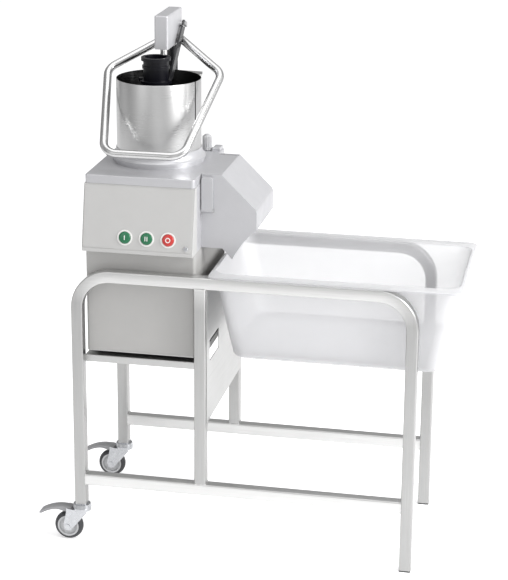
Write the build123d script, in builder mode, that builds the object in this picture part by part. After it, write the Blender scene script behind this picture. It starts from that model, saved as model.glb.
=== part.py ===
from build123d import *
import os
from math import atan2, cos, degrees, hypot, radians, sin

os.makedirs("parts", exist_ok=True)

# A vegetable cutter on its stand. X runs from the machine to the container, Y from the
# operator to the back, Z up. The origin is on the floor, under the middle of the whole object.
# All lengths are in millimetres.

# Stand of bent square tube
tube = 25.0
tube_wall = 1.5
tube_corner = 3.0
stand_length = 740.0
stand_depth = 375.0
rail_top = 626.0
low_rail_top = 160.0
bend_radius = 72.5
post_clearance = 3.0
caster_leg_bottom = 88.0
cap_thickness = 3.0
cap_plug_length = 22.0
plug_clearance = 0.2
shelf_top = 431.0
shelf_edge = 15.0
sheet = 1.5
shelf_front_inset = 20.0
panel_bottom = 300.0
panel_top = 620.0
panel_margin = 10.0
window_width = 88.0
window_height = 46.0
window_offset = 37.0
window_bottom = 432.0

# Braked swivel casters under the two left legs
wheel_diameter = 64.0
tread_width = 21.0
hub_diameter = 48.0
axle_diameter = 8.0
trail = 30.0
fork_gap = 25.6
fork_plate = 2.5
race_diameter = 42.0
race_height = 9.0
head_height = 7.0
stem_diameter = 10.0
stem_length = 34.0
pedal_reach = 84.0
pedal_width = 24.0
pedal_pin_diameter = 5.0
pedal_pin_offset = 26.5

# Clearances between pieces that move past each other
running = 0.05
gap = 0.4

# Food container on the rails
tub_overhang = 86.0
tub_flange = 3.6
tub_lip = 5.0
tub_wall = 3.0
tub_bottom = 438.0
tub_end_taper = 36.0
tub_side_taper = 14.0
tub_corner = 34.0
tub_rail_clearance = 3.5
tub_post_clearance = 3.0

# Motor base of the machine
side_clearance = 2.0
front_clearance = 3.0
body_width = 238.0
body_depth = 294.0
body_corner = 6.0
foot_height = 8.0
foot_diameter = 30.0
foot_inset = 30.0
base_plate = 2.0
housing_top = 668.0
vent_length = 60.0
vent_height = 4.0
vent_pitch = 10.0
vent_rows = 8
gland_diameter = 22.0
gland_height = 140.0

# Cutting bowl, lid and hopper
bowl_top = 809.6
casting_wall = 6.0
chamber_radius = 98.0
chamber_floor = 742.0
floor_thickness = 8.0
axis_x_offset = 121.0
axis_y_offset = 163.0
lid_thickness = 18.0
lid_inset = 1.0
lid_corner = 7.0
tongue_swing_clearance = 2.4
hopper_radius = 91.0
hopper_wall = 1.5
hopper_rim = 1007.0
hopper_slot_width = 4.0
hopper_slot_depth = 82.0
hopper_slot_angle = -18.0
ring_radius = 100.0
ring_plinth = 7.0
ring_height = 30.0
ring_seat = 10.0

# Discharge chute, from the machine's side face outwards
chute_front_offset = 57.0
chute_width = 185.0
chute_wall = 8.0
chute_reach = 119.0
chute_crease = 44.0
chute_nose_height = 38.0
chute_nose_top = 750.0
chute_tip_x = 67.0
chute_tip_z = 645.0
chute_heel_x = 46.0

# Control console on the front
console_top_inset = 1.0
console_lean = 28.0
console_depth = 18.0
console_bottom = 676.0
console_wall = 2.0
panel_plate = 1.5
panel_border = 3.0
button_diameter = 25.0
button_pitch = 46.5
button_height = 27.0
button_first = 93.0
button_travel = 3.0
button_proud = 4.0
bezel_width = 4.0
bezel_height = 1.2
screw_diameter = 10.0
board_length = 180.0
board_height = 36.0
board_thickness = 1.6
board_clearance = 3.0
board_pillar = 2.5

# Lid hinge and latch
hinge_pin_diameter = 8.0
hinge_setback = 8.5
hinge_radius = 7.5
hinge_rise = 2.0
hinge_inset = 45.0
hinge_bracket_drop = 34.0
knuckle = 24.0
latch_width = 24.0
latch_length = 76.0
latch_thickness = 9.0
latch_bottom = 746.5
latch_pin_diameter = 5.0
latch_ear = 1.6
knob_diameter = 22.0
knob_height = 34.0
knob_flutes = 16
knob_stem = 8.0
knob_stem_length = 12.0
knob_side_inset = 34.0
knob_back_inset = 30.0

# Lever head: a cast block on a sliding column, with the loop handle and the pusher
lever_x_offset = 123.0
block_width = 30.0
block_front = 177.0
block_length = 127.0
block_lift = 57.0
block_height = 72.0
column_diameter = 18.0
column_offset = 276.0
column_lift = 6.0
column_seat = 40.0
sleeve_diameter = 24.0
sleeve_gap = 7.0
loop_tube = 18.0
loop_wall = 2.0
loop_front_offset = 16.0
loop_front_rise = 44.0
loop_hub_offset = 295.0
loop_hub_rise = 12.0
loop_front_half = 85.0
loop_wide_half = 126.0
loop_wide_distance = 236.0
loop_bend = 34.0
loop_end_half = 5.0

# Pusher with its feed tube
pusher_clearance = 2.0
pusher_lift = 1.4
pusher_plate = 5.0
pusher_rib = 7.0
feed_tube_offset = 6.0
feed_tube_radius = 27.0
feed_tube_wall = 3.5
feed_tube_gap = 13.0
tube_rim_radius = 31.5
tube_rim_height = 7.0
collar_radius = 33.5
collar_drop = 6.0
collar_height = 6.0
rod_diameter = 10.0
rod_offset = 35.0
arm_thickness = 4.0
arm_width = 20.0
arm_spacer = 5.0

# Cutting disc, ejector and drive
disc_radius = 95.0
disc_bottom = 782.0
disc_thickness = 4.0
blade_count = 3
blade_length = 56.0
blade_width = 18.0
blade_rise = 4.0
ejector_radius = 90.0
ejector_plate = 5.0
ejector_vane = 16.0
ejector_vane_width = 8.0
ejector_vanes = 3
ejector_hub_radius = 25.0
shaft_diameter = 22.0
shaft_bottom = 500.0
shaft_top = 786.0
hub_nut_height = 12.0
motor_radius = 70.0
motor_bottom = 520.0
motor_fins = 24
motor_fin = 5.0
seal_radius = 19.0

# Places worked out from the sizes above
left = -(stand_length + tub_overhang - pedal_reach) / 2
right = left + stand_length
front = -stand_depth / 2
back = -front
rail_bottom = rail_top - tube
inner_front = front + tube
inner_back = back - tube
body_left = left + tube + side_clearance
body_right = body_left + body_width
post_left = body_right + post_clearance
post_right = post_left + tube
body_middle = body_left + body_width / 2
body_front = inner_front + front_clearance
body_back = body_front + body_depth
body_bottom = shelf_top + foot_height
axis_x = body_left + axis_x_offset
axis_y = body_front + axis_y_offset
lid_bottom = bowl_top + gap
lid_top = lid_bottom + lid_thickness
hinge_height = lid_bottom + hinge_rise
column_bottom = lid_bottom + column_lift
pusher_bottom = bowl_top + pusher_lift
block_bottom = hopper_rim + block_lift
block_top = block_bottom + block_height
sleeve_top = block_bottom - sleeve_gap
feed_tube_top = block_bottom - feed_tube_gap
collar_top = hopper_rim - collar_drop
loop_hub_height = block_bottom + loop_hub_rise
loop_front_height = lid_top + loop_front_rise
chute_front = body_front + chute_front_offset
chute_back = chute_front + chute_width
lever_x = body_left + lever_x_offset
column_y = body_front + column_offset
gland_x = body_right - foot_inset
gland_z = body_bottom + gland_height
frame_sides = (("front", front + tube / 2), ("rear", back - tube / 2))


def finish(piece, name):
    # Names the finished piece and writes its file.
    piece.part.label = name
    export_step(piece.part, f"parts/{name}.step")


def box_between(low, high):
    # A box from its lowest to its highest corner, for use inside a part.
    size = [b - a for a, b in zip(low, high)]
    with Locations(tuple((a + b) / 2 for a, b in zip(low, high))):
        Box(*size)


def cut_between(low, high):
    # The same box, taken away.
    size = [b - a for a, b in zip(low, high)]
    with Locations(tuple((a + b) / 2 for a, b in zip(low, high))):
        Box(*size, mode=Mode.SUBTRACT)


def tube_section():
    # The hollow square section, with rounded corners.
    RectangleRounded(tube, tube, tube_corner)
    RectangleRounded(tube - 2 * tube_wall, tube - 2 * tube_wall, tube_corner - tube_wall,
                     mode=Mode.SUBTRACT)


# Side frames: one bent tube each, leg, top rail and leg
for side, y in frame_sides:
    with BuildPart() as side_tube:
        with BuildLine(Plane(origin=(0, y, 0), x_dir=(1, 0, 0), z_dir=(0, -1, 0))):
            FilletPolyline(
                (left + tube / 2, caster_leg_bottom),
                (left + tube / 2, rail_top - tube / 2),
                (right - tube / 2, rail_top - tube / 2),
                (right - tube / 2, cap_thickness),
                radius=bend_radius,
            )
        with BuildSketch(Plane.XY.offset(caster_leg_bottom)):
            with Locations((left + tube / 2, y)):
                tube_section()
        sweep()
    finish(side_tube, f"{side}_side_tube")

    with BuildPart() as low_rail:
        with BuildSketch(Plane.YZ.offset(left + tube)):
            with Locations((y, low_rail_top - tube / 2)):
                tube_section()
        extrude(amount=stand_length - 2 * tube)
    finish(low_rail, f"{side}_low_rail")

    with BuildPart() as mid_post:
        with BuildSketch(Plane.XY.offset(low_rail_top)):
            with Locations((post_left + tube / 2, y)):
                tube_section()
        extrude(amount=rail_bottom - low_rail_top)
    finish(mid_post, f"{side}_mid_post")

# Shelf: a sheet with its four edges folded down
with BuildPart() as machine_shelf:
    shelf_front = front + shelf_front_inset
    box_between((left + tube, shelf_front, shelf_top - shelf_edge), (post_left, -shelf_front, shelf_top))
    fillet(machine_shelf.edges().filter_by(Axis.X).group_by(Axis.Z)[-1], sheet)
    cut_between((left + tube + sheet, shelf_front + sheet, shelf_top - shelf_edge),
                (post_left - sheet, -shelf_front - sheet, shelf_top - sheet))
finish(machine_shelf, "machine_shelf")

# Splash panel on the middle posts, narrower where it rises between the rails
with BuildPart() as splash_panel:
    with BuildSketch(Plane.YZ.offset(post_right)):
        lower_height = rail_bottom - gap - panel_bottom
        with Locations((0, panel_bottom + lower_height / 2)):
            Rectangle(stand_depth - 2 * panel_margin, lower_height)
        upper_height = panel_top - panel_bottom
        with Locations((0, panel_bottom + upper_height / 2)):
            Rectangle(inner_back - inner_front - 2 * gap, upper_height)
        with Locations((front + window_offset + window_width / 2, window_bottom + window_height / 2)):
            RectangleRounded(window_width, window_height, 4, mode=Mode.SUBTRACT)
    extrude(amount=sheet)
finish(splash_panel, "splash_panel")

# Plastic caps pressed into the ends of the right legs
plug = tube - 2 * tube_wall - 2 * plug_clearance
plug_corner = tube_corner - tube_wall
with BuildPart() as foot_caps:
    for side, y in frame_sides:
        with BuildSketch(Plane.XY):
            with Locations((right - tube / 2, y)):
                RectangleRounded(tube, tube, tube_corner)
        extrude(amount=cap_thickness)
        with BuildSketch(Plane.XY.offset(cap_thickness)):
            with Locations((right - tube / 2, y)):
                RectangleRounded(plug, plug, plug_corner)
                Rectangle(plug - 5, plug - 5, mode=Mode.SUBTRACT)
        extrude(amount=cap_plug_length)
finish(foot_caps, "foot_caps")

# Casters
stem_x = left + tube / 2
wheel_x = stem_x - trail
wheel_z = wheel_diameter / 2
race_bottom = caster_leg_bottom - race_height
head_top = race_bottom - gap
head_bottom = head_top - head_height
pedal_x = stem_x - pedal_pin_offset
pedal_z = head_bottom - 1.5

with BuildPart() as caster_stems:
    for side, y in frame_sides:
        with BuildSketch(Plane.XY.offset(race_bottom)):
            with Locations((stem_x, y)):
                Circle(race_diameter / 2)
        extrude(amount=race_height - 2, taper=18)
        with BuildSketch(Plane.XY.offset(caster_leg_bottom - 2)):
            with Locations((stem_x, y)):
                RectangleRounded(tube, tube, tube_corner)
        extrude(amount=2)
        with BuildSketch(Plane.XY.offset(caster_leg_bottom)):
            with Locations((stem_x, y)):
                RectangleRounded(plug, plug, plug_corner)
        extrude(amount=stem_length)
        with Locations((stem_x, y, caster_leg_bottom + stem_length)):
            Cylinder(stem_diameter / 2, 5, align=(Align.CENTER, Align.CENTER, Align.MIN))
finish(caster_stems, "caster_stems")

for side, y in frame_sides:
    upright = Plane(origin=(0, y, 0), x_dir=(1, 0, 0), z_dir=(0, -1, 0))

    # Fork: a round head, two side plates that lean back to the axle, and the pedal's pin
    with BuildPart() as caster_fork:
        with BuildSketch(Plane.XY.offset(head_bottom)):
            with Locations((stem_x, y)):
                Circle(race_diameter / 2 - 1)
        extrude(amount=head_height)
        fillet(caster_fork.edges().group_by(Axis.Z)[-1], 1.5)
        for way in (-1, 1):
            with BuildSketch(upright.offset(way * (fork_gap + fork_plate) / 2)):
                with BuildLine():
                    Polyline(
                        (stem_x + 13, head_bottom + 2),
                        (stem_x + 13, head_bottom - 4),
                        (wheel_x + 7, wheel_z - 8),
                        (wheel_x - 6, wheel_z - 8),
                        (wheel_x - 9, wheel_z + 4),
                        (pedal_x - 6, pedal_z - 3),
                        (pedal_x - 6, pedal_z + 6),
                        (pedal_x + 8, head_bottom + 2),
                        close=True,
                    )
                make_face()
                with Locations((wheel_x, wheel_z)):
                    Circle(axle_diameter / 2, mode=Mode.SUBTRACT)
            extrude(amount=fork_plate / 2, both=True)
        with Locations(upright * Location((pedal_x, pedal_z, 0))):
            Cylinder(pedal_pin_diameter / 2, fork_gap + 2 * fork_plate)
    finish(caster_fork, f"{side}_caster_fork")

    with BuildPart() as caster_axle:
        with Locations(upright * Location((wheel_x, wheel_z, 0))):
            Cylinder(axle_diameter / 2, fork_gap + 2 * fork_plate)
        for way in (-1, 1):
            with Locations(upright * Location((wheel_x, wheel_z, way * (fork_gap / 2 + fork_plate + 0.75)))):
                Cylinder(axle_diameter / 2 + 2, 1.5)
    finish(caster_axle, f"{side}_caster_axle")

    # Wheel: a spoked plastic hub and a rubber tyre
    with BuildPart() as caster_hub:
        with Locations(upright * Location((wheel_x, wheel_z, 0))):
            Cylinder(hub_diameter / 2, tread_width)
            Cylinder(axle_diameter / 2 + 5, fork_gap - 2 * gap)
            Cylinder(axle_diameter / 2 + running, fork_gap, mode=Mode.SUBTRACT)
        for way in (-1, 1):
            with BuildSketch(upright.offset(way * tread_width / 2)):
                with Locations((wheel_x, wheel_z)):
                    Circle(hub_diameter / 2 - 4)
                    Circle(axle_diameter / 2 + 5, mode=Mode.SUBTRACT)
            extrude(amount=-way * 5, mode=Mode.SUBTRACT)
    finish(caster_hub, f"{side}_caster_hub")

    with BuildPart() as caster_tyre:
        with Locations(upright * Location((wheel_x, wheel_z, 0))):
            Cylinder(wheel_diameter / 2, tread_width)
            Cylinder(hub_diameter / 2, tread_width, mode=Mode.SUBTRACT)
        fillet(caster_tyre.edges().filter_by(
            lambda edge: edge.geom_type == GeomType.CIRCLE and edge.radius > hub_diameter / 2 + 1), 4)
    finish(caster_tyre, f"{side}_caster_tyre")

    # Brake pedal: a curved plastic plate over the wheel, turning on the fork's pin
    with BuildPart() as brake_pedal:
        tip_x = left - pedal_reach
        with BuildSketch(upright):
            with BuildLine():
                over = Spline(
                    (pedal_x + 5, pedal_z + 6.2),
                    (pedal_x - 26, pedal_z + 7),
                    (tip_x + 4, pedal_z - 7),
                    tangents=((-1, 0.1), (-0.85, -0.5)),
                )
                toe = Line(over @ 1, (tip_x, pedal_z - 12))
                under = Line(toe @ 1, (tip_x + 6, pedal_z - 12.5))
                belly = Spline(
                    under @ 1,
                    (pedal_x - 22, pedal_z - 0.5),
                    (pedal_x - 4, pedal_z - 3.8),
                    tangents=((0.85, 0.55), (1, 0)),
                )
                Polyline(belly @ 1, (pedal_x + 4, pedal_z - 3.8), (pedal_x + 5, pedal_z + 6.2))
            make_face()
        extrude(amount=pedal_width / 2, both=True)
        with Locations(upright * Location((pedal_x, pedal_z, 0))):
            Cylinder(pedal_pin_diameter / 2 + running, pedal_width, mode=Mode.SUBTRACT)
    finish(brake_pedal, f"{side}_brake_pedal")

# Container: a tapered tub with a flange along its top
tub_left = post_right + tub_post_clearance
tub_right = right + tub_overhang
tub_middle = (tub_left + tub_right) / 2
tub_length = tub_right - tub_left
tub_width = inner_back - inner_front - 2 * tub_rail_clearance
flange_bottom = rail_top + gap
flange_top = flange_bottom + tub_flange


with BuildPart() as container:
    for inset, bottom, mode in ((0, tub_bottom, Mode.ADD), (tub_wall, tub_bottom + tub_wall, Mode.SUBTRACT)):
        for height, end_taper, side_taper in ((flange_top, 0, 0), (bottom, tub_end_taper, tub_side_taper)):
            with BuildSketch(Plane.XY.offset(height)):
                with Locations((tub_middle, 0)):
                    RectangleRounded(tub_length - 2 * (tub_lip + end_taper + inset),
                                     tub_width - 2 * (side_taper + inset), tub_corner - inset)
        loft(mode=mode)
        if mode == Mode.ADD:
            fillet(container.edges().group_by(Axis.Z)[0], 12)
            with BuildSketch(Plane.XY.offset(flange_bottom)):
                with Locations((tub_middle, 0)):
                    RectangleRounded(tub_length, stand_depth, tub_corner / 2)
            extrude(amount=tub_flange)
finish(container, "container")

# Motor base: rubber feet, bottom plate and folded casing
with BuildPart() as machine_feet:
    with BuildSketch(Plane.XY.offset(shelf_top)):
        with Locations((body_middle, (body_front + body_back) / 2)):
            with GridLocations(body_width - 2 * foot_inset, body_depth - 2 * foot_inset, 2, 2):
                Circle(foot_diameter / 2)
    extrude(amount=foot_height, taper=-8)
finish(machine_feet, "machine_feet")

with BuildPart() as bottom_plate:
    with BuildSketch(Plane.XY.offset(body_bottom)):
        with Locations((body_middle, (body_front + body_back) / 2)):
            RectangleRounded(body_width, body_depth, body_corner)
    extrude(amount=base_plate)
finish(bottom_plate, "bottom_plate")

with BuildPart() as motor_housing:
    with BuildSketch(Plane.XY.offset(body_bottom + base_plate)):
        with Locations((body_middle, (body_front + body_back) / 2)):
            RectangleRounded(body_width, body_depth, body_corner)
            RectangleRounded(body_width - 2 * sheet, body_depth - 2 * sheet, body_corner - sheet,
                             mode=Mode.SUBTRACT)
    extrude(amount=housing_top - body_bottom - base_plate)
    with BuildSketch(Plane.XZ.offset(-body_back)):
        with Locations((body_middle, body_bottom + 70)):
            with GridLocations(vent_length + 20, vent_pitch, 2, vent_rows):
                SlotOverall(vent_length, vent_height)
    extrude(amount=3 * sheet, both=True, mode=Mode.SUBTRACT)
    with BuildSketch(Plane.XZ.offset(-body_back)):
        with Locations((gland_x, gland_z)):
            Circle(gland_diameter / 2 - 4)
    extrude(amount=3 * sheet, both=True, mode=Mode.SUBTRACT)
finish(motor_housing, "motor_housing")

with BuildPart() as cable_gland:
    with BuildSketch(Plane.XZ.offset(-body_back)):
        with Locations((gland_x, gland_z)):
            RegularPolygon(gland_diameter / 2, 6)
    extrude(amount=-7)
    with BuildSketch(Plane.XZ.offset(-body_back - 7)):
        with Locations((gland_x, gland_z)):
            Circle(gland_diameter / 2 - 3)
    extrude(amount=-9, taper=12)
    with BuildSketch(Plane.XZ.offset(-body_back)):
        with Locations((gland_x, gland_z)):
            Circle(gland_diameter / 2 - 4 - running)
    extrude(amount=8)
    with Locations(Plane.XZ.offset(-body_back) * Location((gland_x, gland_z, 0))):
        Cylinder(4, 60, mode=Mode.SUBTRACT)
finish(cable_gland, "cable_gland")

# Motor hung under the bowl's floor, with cooling fins, and its four screws
motor_top = chamber_floor - floor_thickness
with BuildPart() as motor:
    with Locations((axis_x, axis_y, motor_bottom)):
        Cylinder(motor_radius, motor_top - motor_bottom - 12, align=(Align.CENTER, Align.CENTER, Align.MIN))
    with Locations((axis_x, axis_y, motor_top - 12)):
        Cylinder(motor_radius + 14, 12, align=(Align.CENTER, Align.CENTER, Align.MIN))
    with BuildSketch(Plane.XY.offset(motor_bottom + 14)):
        with Locations((axis_x, axis_y)):
            with PolarLocations(motor_radius + motor_fin / 2 - 0.5, motor_fins):
                Rectangle(motor_fin + 1, 3)
    extrude(amount=motor_top - motor_bottom - 40)
    with Locations((axis_x, axis_y, motor_bottom)):
        Cylinder(shaft_diameter / 2 + running, motor_top - motor_bottom,
                 align=(Align.CENTER, Align.CENTER, Align.MIN), mode=Mode.SUBTRACT)
    with Locations((axis_x, axis_y, motor_top)):
        with PolarLocations(motor_radius + 6, 4, start_angle=45):
            Hole(3, 12)
finish(motor, "motor")

with BuildPart() as motor_screws:
    with Locations((axis_x, axis_y, motor_top - 12)):
        with PolarLocations(motor_radius + 6, 4, start_angle=45):
            Cylinder(5, 4, align=(Align.CENTER, Align.CENTER, Align.MAX))
            Cylinder(3, 12, align=(Align.CENTER, Align.CENTER, Align.MIN))
finish(motor_screws, "motor_screws")

with BuildPart() as shaft_seal:
    with Locations((axis_x, axis_y, chamber_floor - floor_thickness)):
        Cylinder(seal_radius, floor_thickness + 4, align=(Align.CENTER, Align.CENTER, Align.MIN))
        Cylinder(shaft_diameter / 2 + running, floor_thickness + 4,
                 align=(Align.CENTER, Align.CENTER, Align.MIN), mode=Mode.SUBTRACT)
    fillet(shaft_seal.edges().group_by(Axis.Z)[-1].sort_by(SortBy.LENGTH)[-1], 2)
finish(shaft_seal, "shaft_seal")

# Cutting bowl and its discharge chute, one casting
chute_plane = Plane(origin=(0, chute_front, 0), x_dir=(1, 0, 0), z_dir=(0, -1, 0))
bowl_front = body_front + console_depth
nose_right = body_right + chute_reach
with BuildPart() as cutting_bowl:
    with BuildSketch(Plane.XY.offset(housing_top)):
        with Locations((body_middle, (bowl_front + body_back) / 2)):
            RectangleRounded(body_width, body_back - bowl_front, body_corner)
    extrude(amount=bowl_top - housing_top)
    with BuildSketch(Plane.XY.offset(housing_top)):
        with Locations((body_middle, (bowl_front + body_back) / 2)):
            RectangleRounded(body_width - 2 * casting_wall, body_back - bowl_front - 2 * casting_wall,
                             body_corner / 2)
        with Locations((axis_x, axis_y)):
            Circle(chamber_radius + casting_wall, mode=Mode.SUBTRACT)
    extrude(amount=bowl_top - casting_wall - housing_top, mode=Mode.SUBTRACT)
    with BuildSketch(Plane.XY.offset(housing_top)):
        with Locations((axis_x, axis_y)):
            Circle(chamber_radius)
    extrude(amount=chamber_floor - floor_thickness - housing_top, mode=Mode.SUBTRACT)
    # The hood's outline, seen from the front
    with BuildSketch(chute_plane):
        with BuildLine():
            roof = Polyline(
                (body_right - casting_wall, housing_top),
                (body_right - casting_wall, lid_bottom - gap),
                (body_right + gap + 0.6, lid_bottom - gap),
                (body_right + gap + 0.6, lid_top),
                (body_right + chute_crease, lid_top),
                (nose_right - 3, chute_nose_top + 8),
                (nose_right, chute_nose_top),
                (nose_right, chute_nose_top - chute_nose_height),
            )
            mouth = ThreePointArc(
                roof @ 1,
                (body_right + (chute_reach + chute_tip_x) / 2 - 3.5,
                 (chute_nose_top - chute_nose_height + chute_tip_z) / 2 + 3),
                (body_right + chute_tip_x, chute_tip_z),
            )
            Polyline(
                mouth @ 1,
                (body_right + chute_heel_x, housing_top),
                (body_right - casting_wall, housing_top),
            )
        make_face()
    extrude(amount=-chute_width)
    # The way from the chamber over a ramp to the open mouth
    with BuildSketch(chute_plane.offset(-chute_wall)):
        with BuildLine():
            Polyline(
                (axis_x, chamber_floor),
                (body_right - 10, chamber_floor),
                (body_right + chute_heel_x - 6, housing_top - 4),
                (body_right + chute_heel_x - 6, chute_tip_z - 10),
                (nose_right - chute_wall, chute_tip_z - 10),
                (nose_right - chute_wall, chute_nose_top - 2),
                (nose_right - chute_wall - 3, chute_nose_top + 4),
                (body_right + chute_crease, lid_top - chute_wall),
                (body_right + chute_crease, lid_top + 1),
                (body_right + gap, lid_top + 1),
                (body_right + gap, bowl_top + 1),
                (axis_x, bowl_top + 1),
                close=True,
            )
        make_face()
    extrude(amount=-(chute_width - 2 * chute_wall), mode=Mode.SUBTRACT)
    with Locations((axis_x, axis_y, chamber_floor)):
        Cylinder(chamber_radius, bowl_top - chamber_floor,
                 align=(Align.CENTER, Align.CENTER, Align.MIN), mode=Mode.SUBTRACT)
        Cylinder(seal_radius, 2 * floor_thickness + 2, mode=Mode.SUBTRACT)
finish(cutting_bowl, "cutting_bowl")

# Console: a folded case with a leaning front, and what is behind and on it
case_front = body_front - console_lean + console_top_inset
case_top_front = body_front + console_top_inset
lean_run = case_top_front - case_front
lean_rise = bowl_top - console_bottom
lean_length = hypot(lean_run, lean_rise)
side_view = Plane(origin=(body_left, 0, 0), x_dir=(0, 1, 0), z_dir=(1, 0, 0))
with BuildPart() as console_case:
    with BuildSketch(side_view):
        with BuildLine():
            Polyline(
                (case_front, console_bottom),
                (case_top_front, bowl_top),
                (bowl_front - gap, bowl_top),
                (bowl_front - gap, housing_top),
                (case_front + console_wall, housing_top),
                close=True,
            )
        make_face()
    extrude(amount=body_width)
    fillet(console_case.edges().filter_by(Axis.X).sort_by(Axis.Y)[0:2], 2)
    with BuildSketch(side_view.offset(console_wall)):
        with BuildLine():
            Polyline(
                (case_front + console_wall, console_bottom),
                (case_top_front + console_wall, bowl_top - console_wall),
                (bowl_front, bowl_top - console_wall),
                (bowl_front, housing_top + console_wall),
                (case_front + 2 * console_wall, housing_top + console_wall),
                close=True,
            )
        make_face()
    extrude(amount=body_width - 2 * console_wall, mode=Mode.SUBTRACT)
    slope = Plane(origin=(body_middle, case_front, console_bottom), x_dir=(1, 0, 0),
                  z_dir=(0, -lean_rise / lean_length, lean_run / lean_length))
    button_places = [(body_left + button_first + n * button_pitch - body_middle, button_height)
                     for n in range(3)]
    with BuildSketch(slope):
        with Locations(*button_places):
            Circle(button_diameter / 2 + gap)
    extrude(amount=console_wall * 3, both=True, mode=Mode.SUBTRACT)
finish(console_case, "console_case")

with BuildPart() as front_panel:
    with BuildSketch(slope):
        with Locations((0, lean_length / 2)):
            RectangleRounded(body_width - 2 * panel_border, lean_length - 2 * panel_border, 4)
        with Locations(*button_places):
            Circle(button_diameter / 2 + gap, mode=Mode.SUBTRACT)
    extrude(amount=panel_plate)
finish(front_panel, "front_panel")

with BuildPart() as button_bezels:
    with BuildSketch(slope.offset(panel_plate)):
        with Locations(*button_places):
            Circle(button_diameter / 2 + bezel_width)
            Circle(button_diameter / 2 + gap, mode=Mode.SUBTRACT)
    extrude(amount=bezel_height)
finish(button_bezels, "button_bezels")

for place, name in zip(button_places, ("start_button", "pulse_button", "stop_button")):
    with BuildPart() as push_button:
        with BuildSketch(slope.offset(-console_wall - 5)):
            with Locations(place):
                Circle(button_diameter / 2)
        extrude(amount=console_wall + 5 + panel_plate + button_proud)
        fillet(push_button.edges().sort_by(Axis.Y)[0], 1.5)
    finish(push_button, name)

with BuildPart() as panel_screw:
    with BuildSketch(slope.offset(panel_plate)):
        with Locations((body_width / 2 - 14, 11)):
            Circle(screw_diameter / 2)
    extrude(amount=2.5)
    fillet(panel_screw.edges().sort_by(Axis.Y)[0], 1.2)
    with BuildSketch(slope.offset(panel_plate + 2.5)):
        with Locations((body_width / 2 - 14, 11)):
            Rectangle(screw_diameter, 1.4, rotation=35)
    extrude(amount=-1.2, mode=Mode.SUBTRACT)
finish(panel_screw, "panel_screw")

board_depth = -console_wall - 5 - button_travel - board_clearance - board_thickness
with BuildPart() as control_board:
    with BuildSketch(slope.offset(board_depth)):
        with Locations((0, button_height)):
            Rectangle(board_length, board_height)
    extrude(amount=board_thickness)
    with BuildSketch(slope.offset(board_depth + board_thickness)):
        with Locations((0, button_height)):
            with GridLocations(board_length - 10, board_height - 2 * board_pillar, 2, 2):
                Circle(board_pillar)
    extrude(amount=-board_depth - board_thickness - console_wall)
finish(control_board, "control_board")

# Lid hinge: two fixed knuckles on the bowl, two on the lid, one pin
hinge_y = body_back + hinge_setback
hinge_starts = (body_left + hinge_inset, body_right - hinge_inset - 2 * knuckle - gap)
with BuildPart() as hinge_bracket:
    for start in hinge_starts:
        with Locations((start + knuckle / 2, hinge_y, hinge_height)):
            Cylinder(hinge_radius, knuckle, rotation=(0, 90, 0))
        box_between((start, body_back, hinge_height - hinge_bracket_drop),
                    (start + knuckle, hinge_y + hinge_radius, lid_bottom - gap))
        with Locations((start + knuckle / 2, hinge_y, hinge_height)):
            Cylinder(hinge_pin_diameter / 2, knuckle, rotation=(0, 90, 0), mode=Mode.SUBTRACT)
    chamfer(hinge_bracket.edges().filter_by(Axis.X).group_by(Axis.Z)[0].sort_by(Axis.Y)[-2:], 10)
finish(hinge_bracket, "hinge_bracket")

with BuildPart() as hinge_pin:
    pin_start = hinge_starts[0] - 4
    pin_end = hinge_starts[1] + 2 * knuckle + gap + 4
    with Locations(((pin_start + pin_end) / 2, hinge_y, hinge_height)):
        Cylinder(hinge_pin_diameter / 2, pin_end - pin_start, rotation=(0, 90, 0))
    for x in (pin_start - 1.5, pin_end + 1.5):
        with Locations((x, hinge_y, hinge_height)):
            Cylinder(hinge_pin_diameter / 2 + 2, 3, rotation=(0, 90, 0))
finish(hinge_pin, "hinge_pin")

# Lid: a plate over the bowl with a tongue over the chute
tongue_right = body_right + chute_crease - gap
tongue_front = chute_front + chute_wall + gap
tongue_back = chute_back - chute_wall - tongue_swing_clearance
knob_x = body_right - knob_side_inset
knob_y = body_back - knob_back_inset
with BuildPart() as lid:
    with BuildSketch(Plane.XY.offset(lid_bottom)):
        with Locations((body_middle, (body_front + body_back) / 2)):
            RectangleRounded(body_width - 2 * lid_inset, body_depth - 2 * lid_inset, lid_corner)
        with Locations(((body_middle + tongue_right) / 2, (tongue_front + tongue_back) / 2)):
            Rectangle(tongue_right - body_middle, tongue_back - tongue_front)
    extrude(amount=lid_thickness)
    fillet(lid.edges().group_by(Axis.Z)[-1], 2.5)
    with BuildSketch(Plane.XY.offset(lid_bottom)):
        with Locations((axis_x, axis_y)):
            Circle(hopper_radius - hopper_wall)
    extrude(amount=lid_thickness, mode=Mode.SUBTRACT)
    boss_left = body_right - 21
    box_between((boss_left, body_back - 38, lid_top), (body_right - lid_inset - 3, body_back - 6, lid_top + 8))
    fillet(lid.edges().group_by(Axis.Z)[-1], 2)
    for start in hinge_starts:
        lid_knuckle = start + knuckle + gap
        box_between((lid_knuckle, body_back - 6, hinge_height),
                    (lid_knuckle + knuckle, hinge_y, hinge_height + hinge_radius))
        with Locations((lid_knuckle + knuckle / 2, hinge_y, hinge_height)):
            Cylinder(hinge_radius, knuckle, rotation=(0, 90, 0))
            Cylinder(hinge_pin_diameter / 2 + running, knuckle, rotation=(0, 90, 0), mode=Mode.SUBTRACT)
    with Locations((lever_x, column_y, column_bottom - 1)):
        Cylinder(column_diameter / 2 + running, lid_thickness + 10,
                 align=(Align.CENTER, Align.CENTER, Align.MIN), mode=Mode.SUBTRACT)
    with Locations((knob_x, knob_y, lid_top - knob_stem_length - 1)):
        Cylinder(knob_stem / 2 + running, knob_stem_length + 2,
                 align=(Align.CENTER, Align.CENTER, Align.MIN), mode=Mode.SUBTRACT)
finish(lid, "lid")

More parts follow.
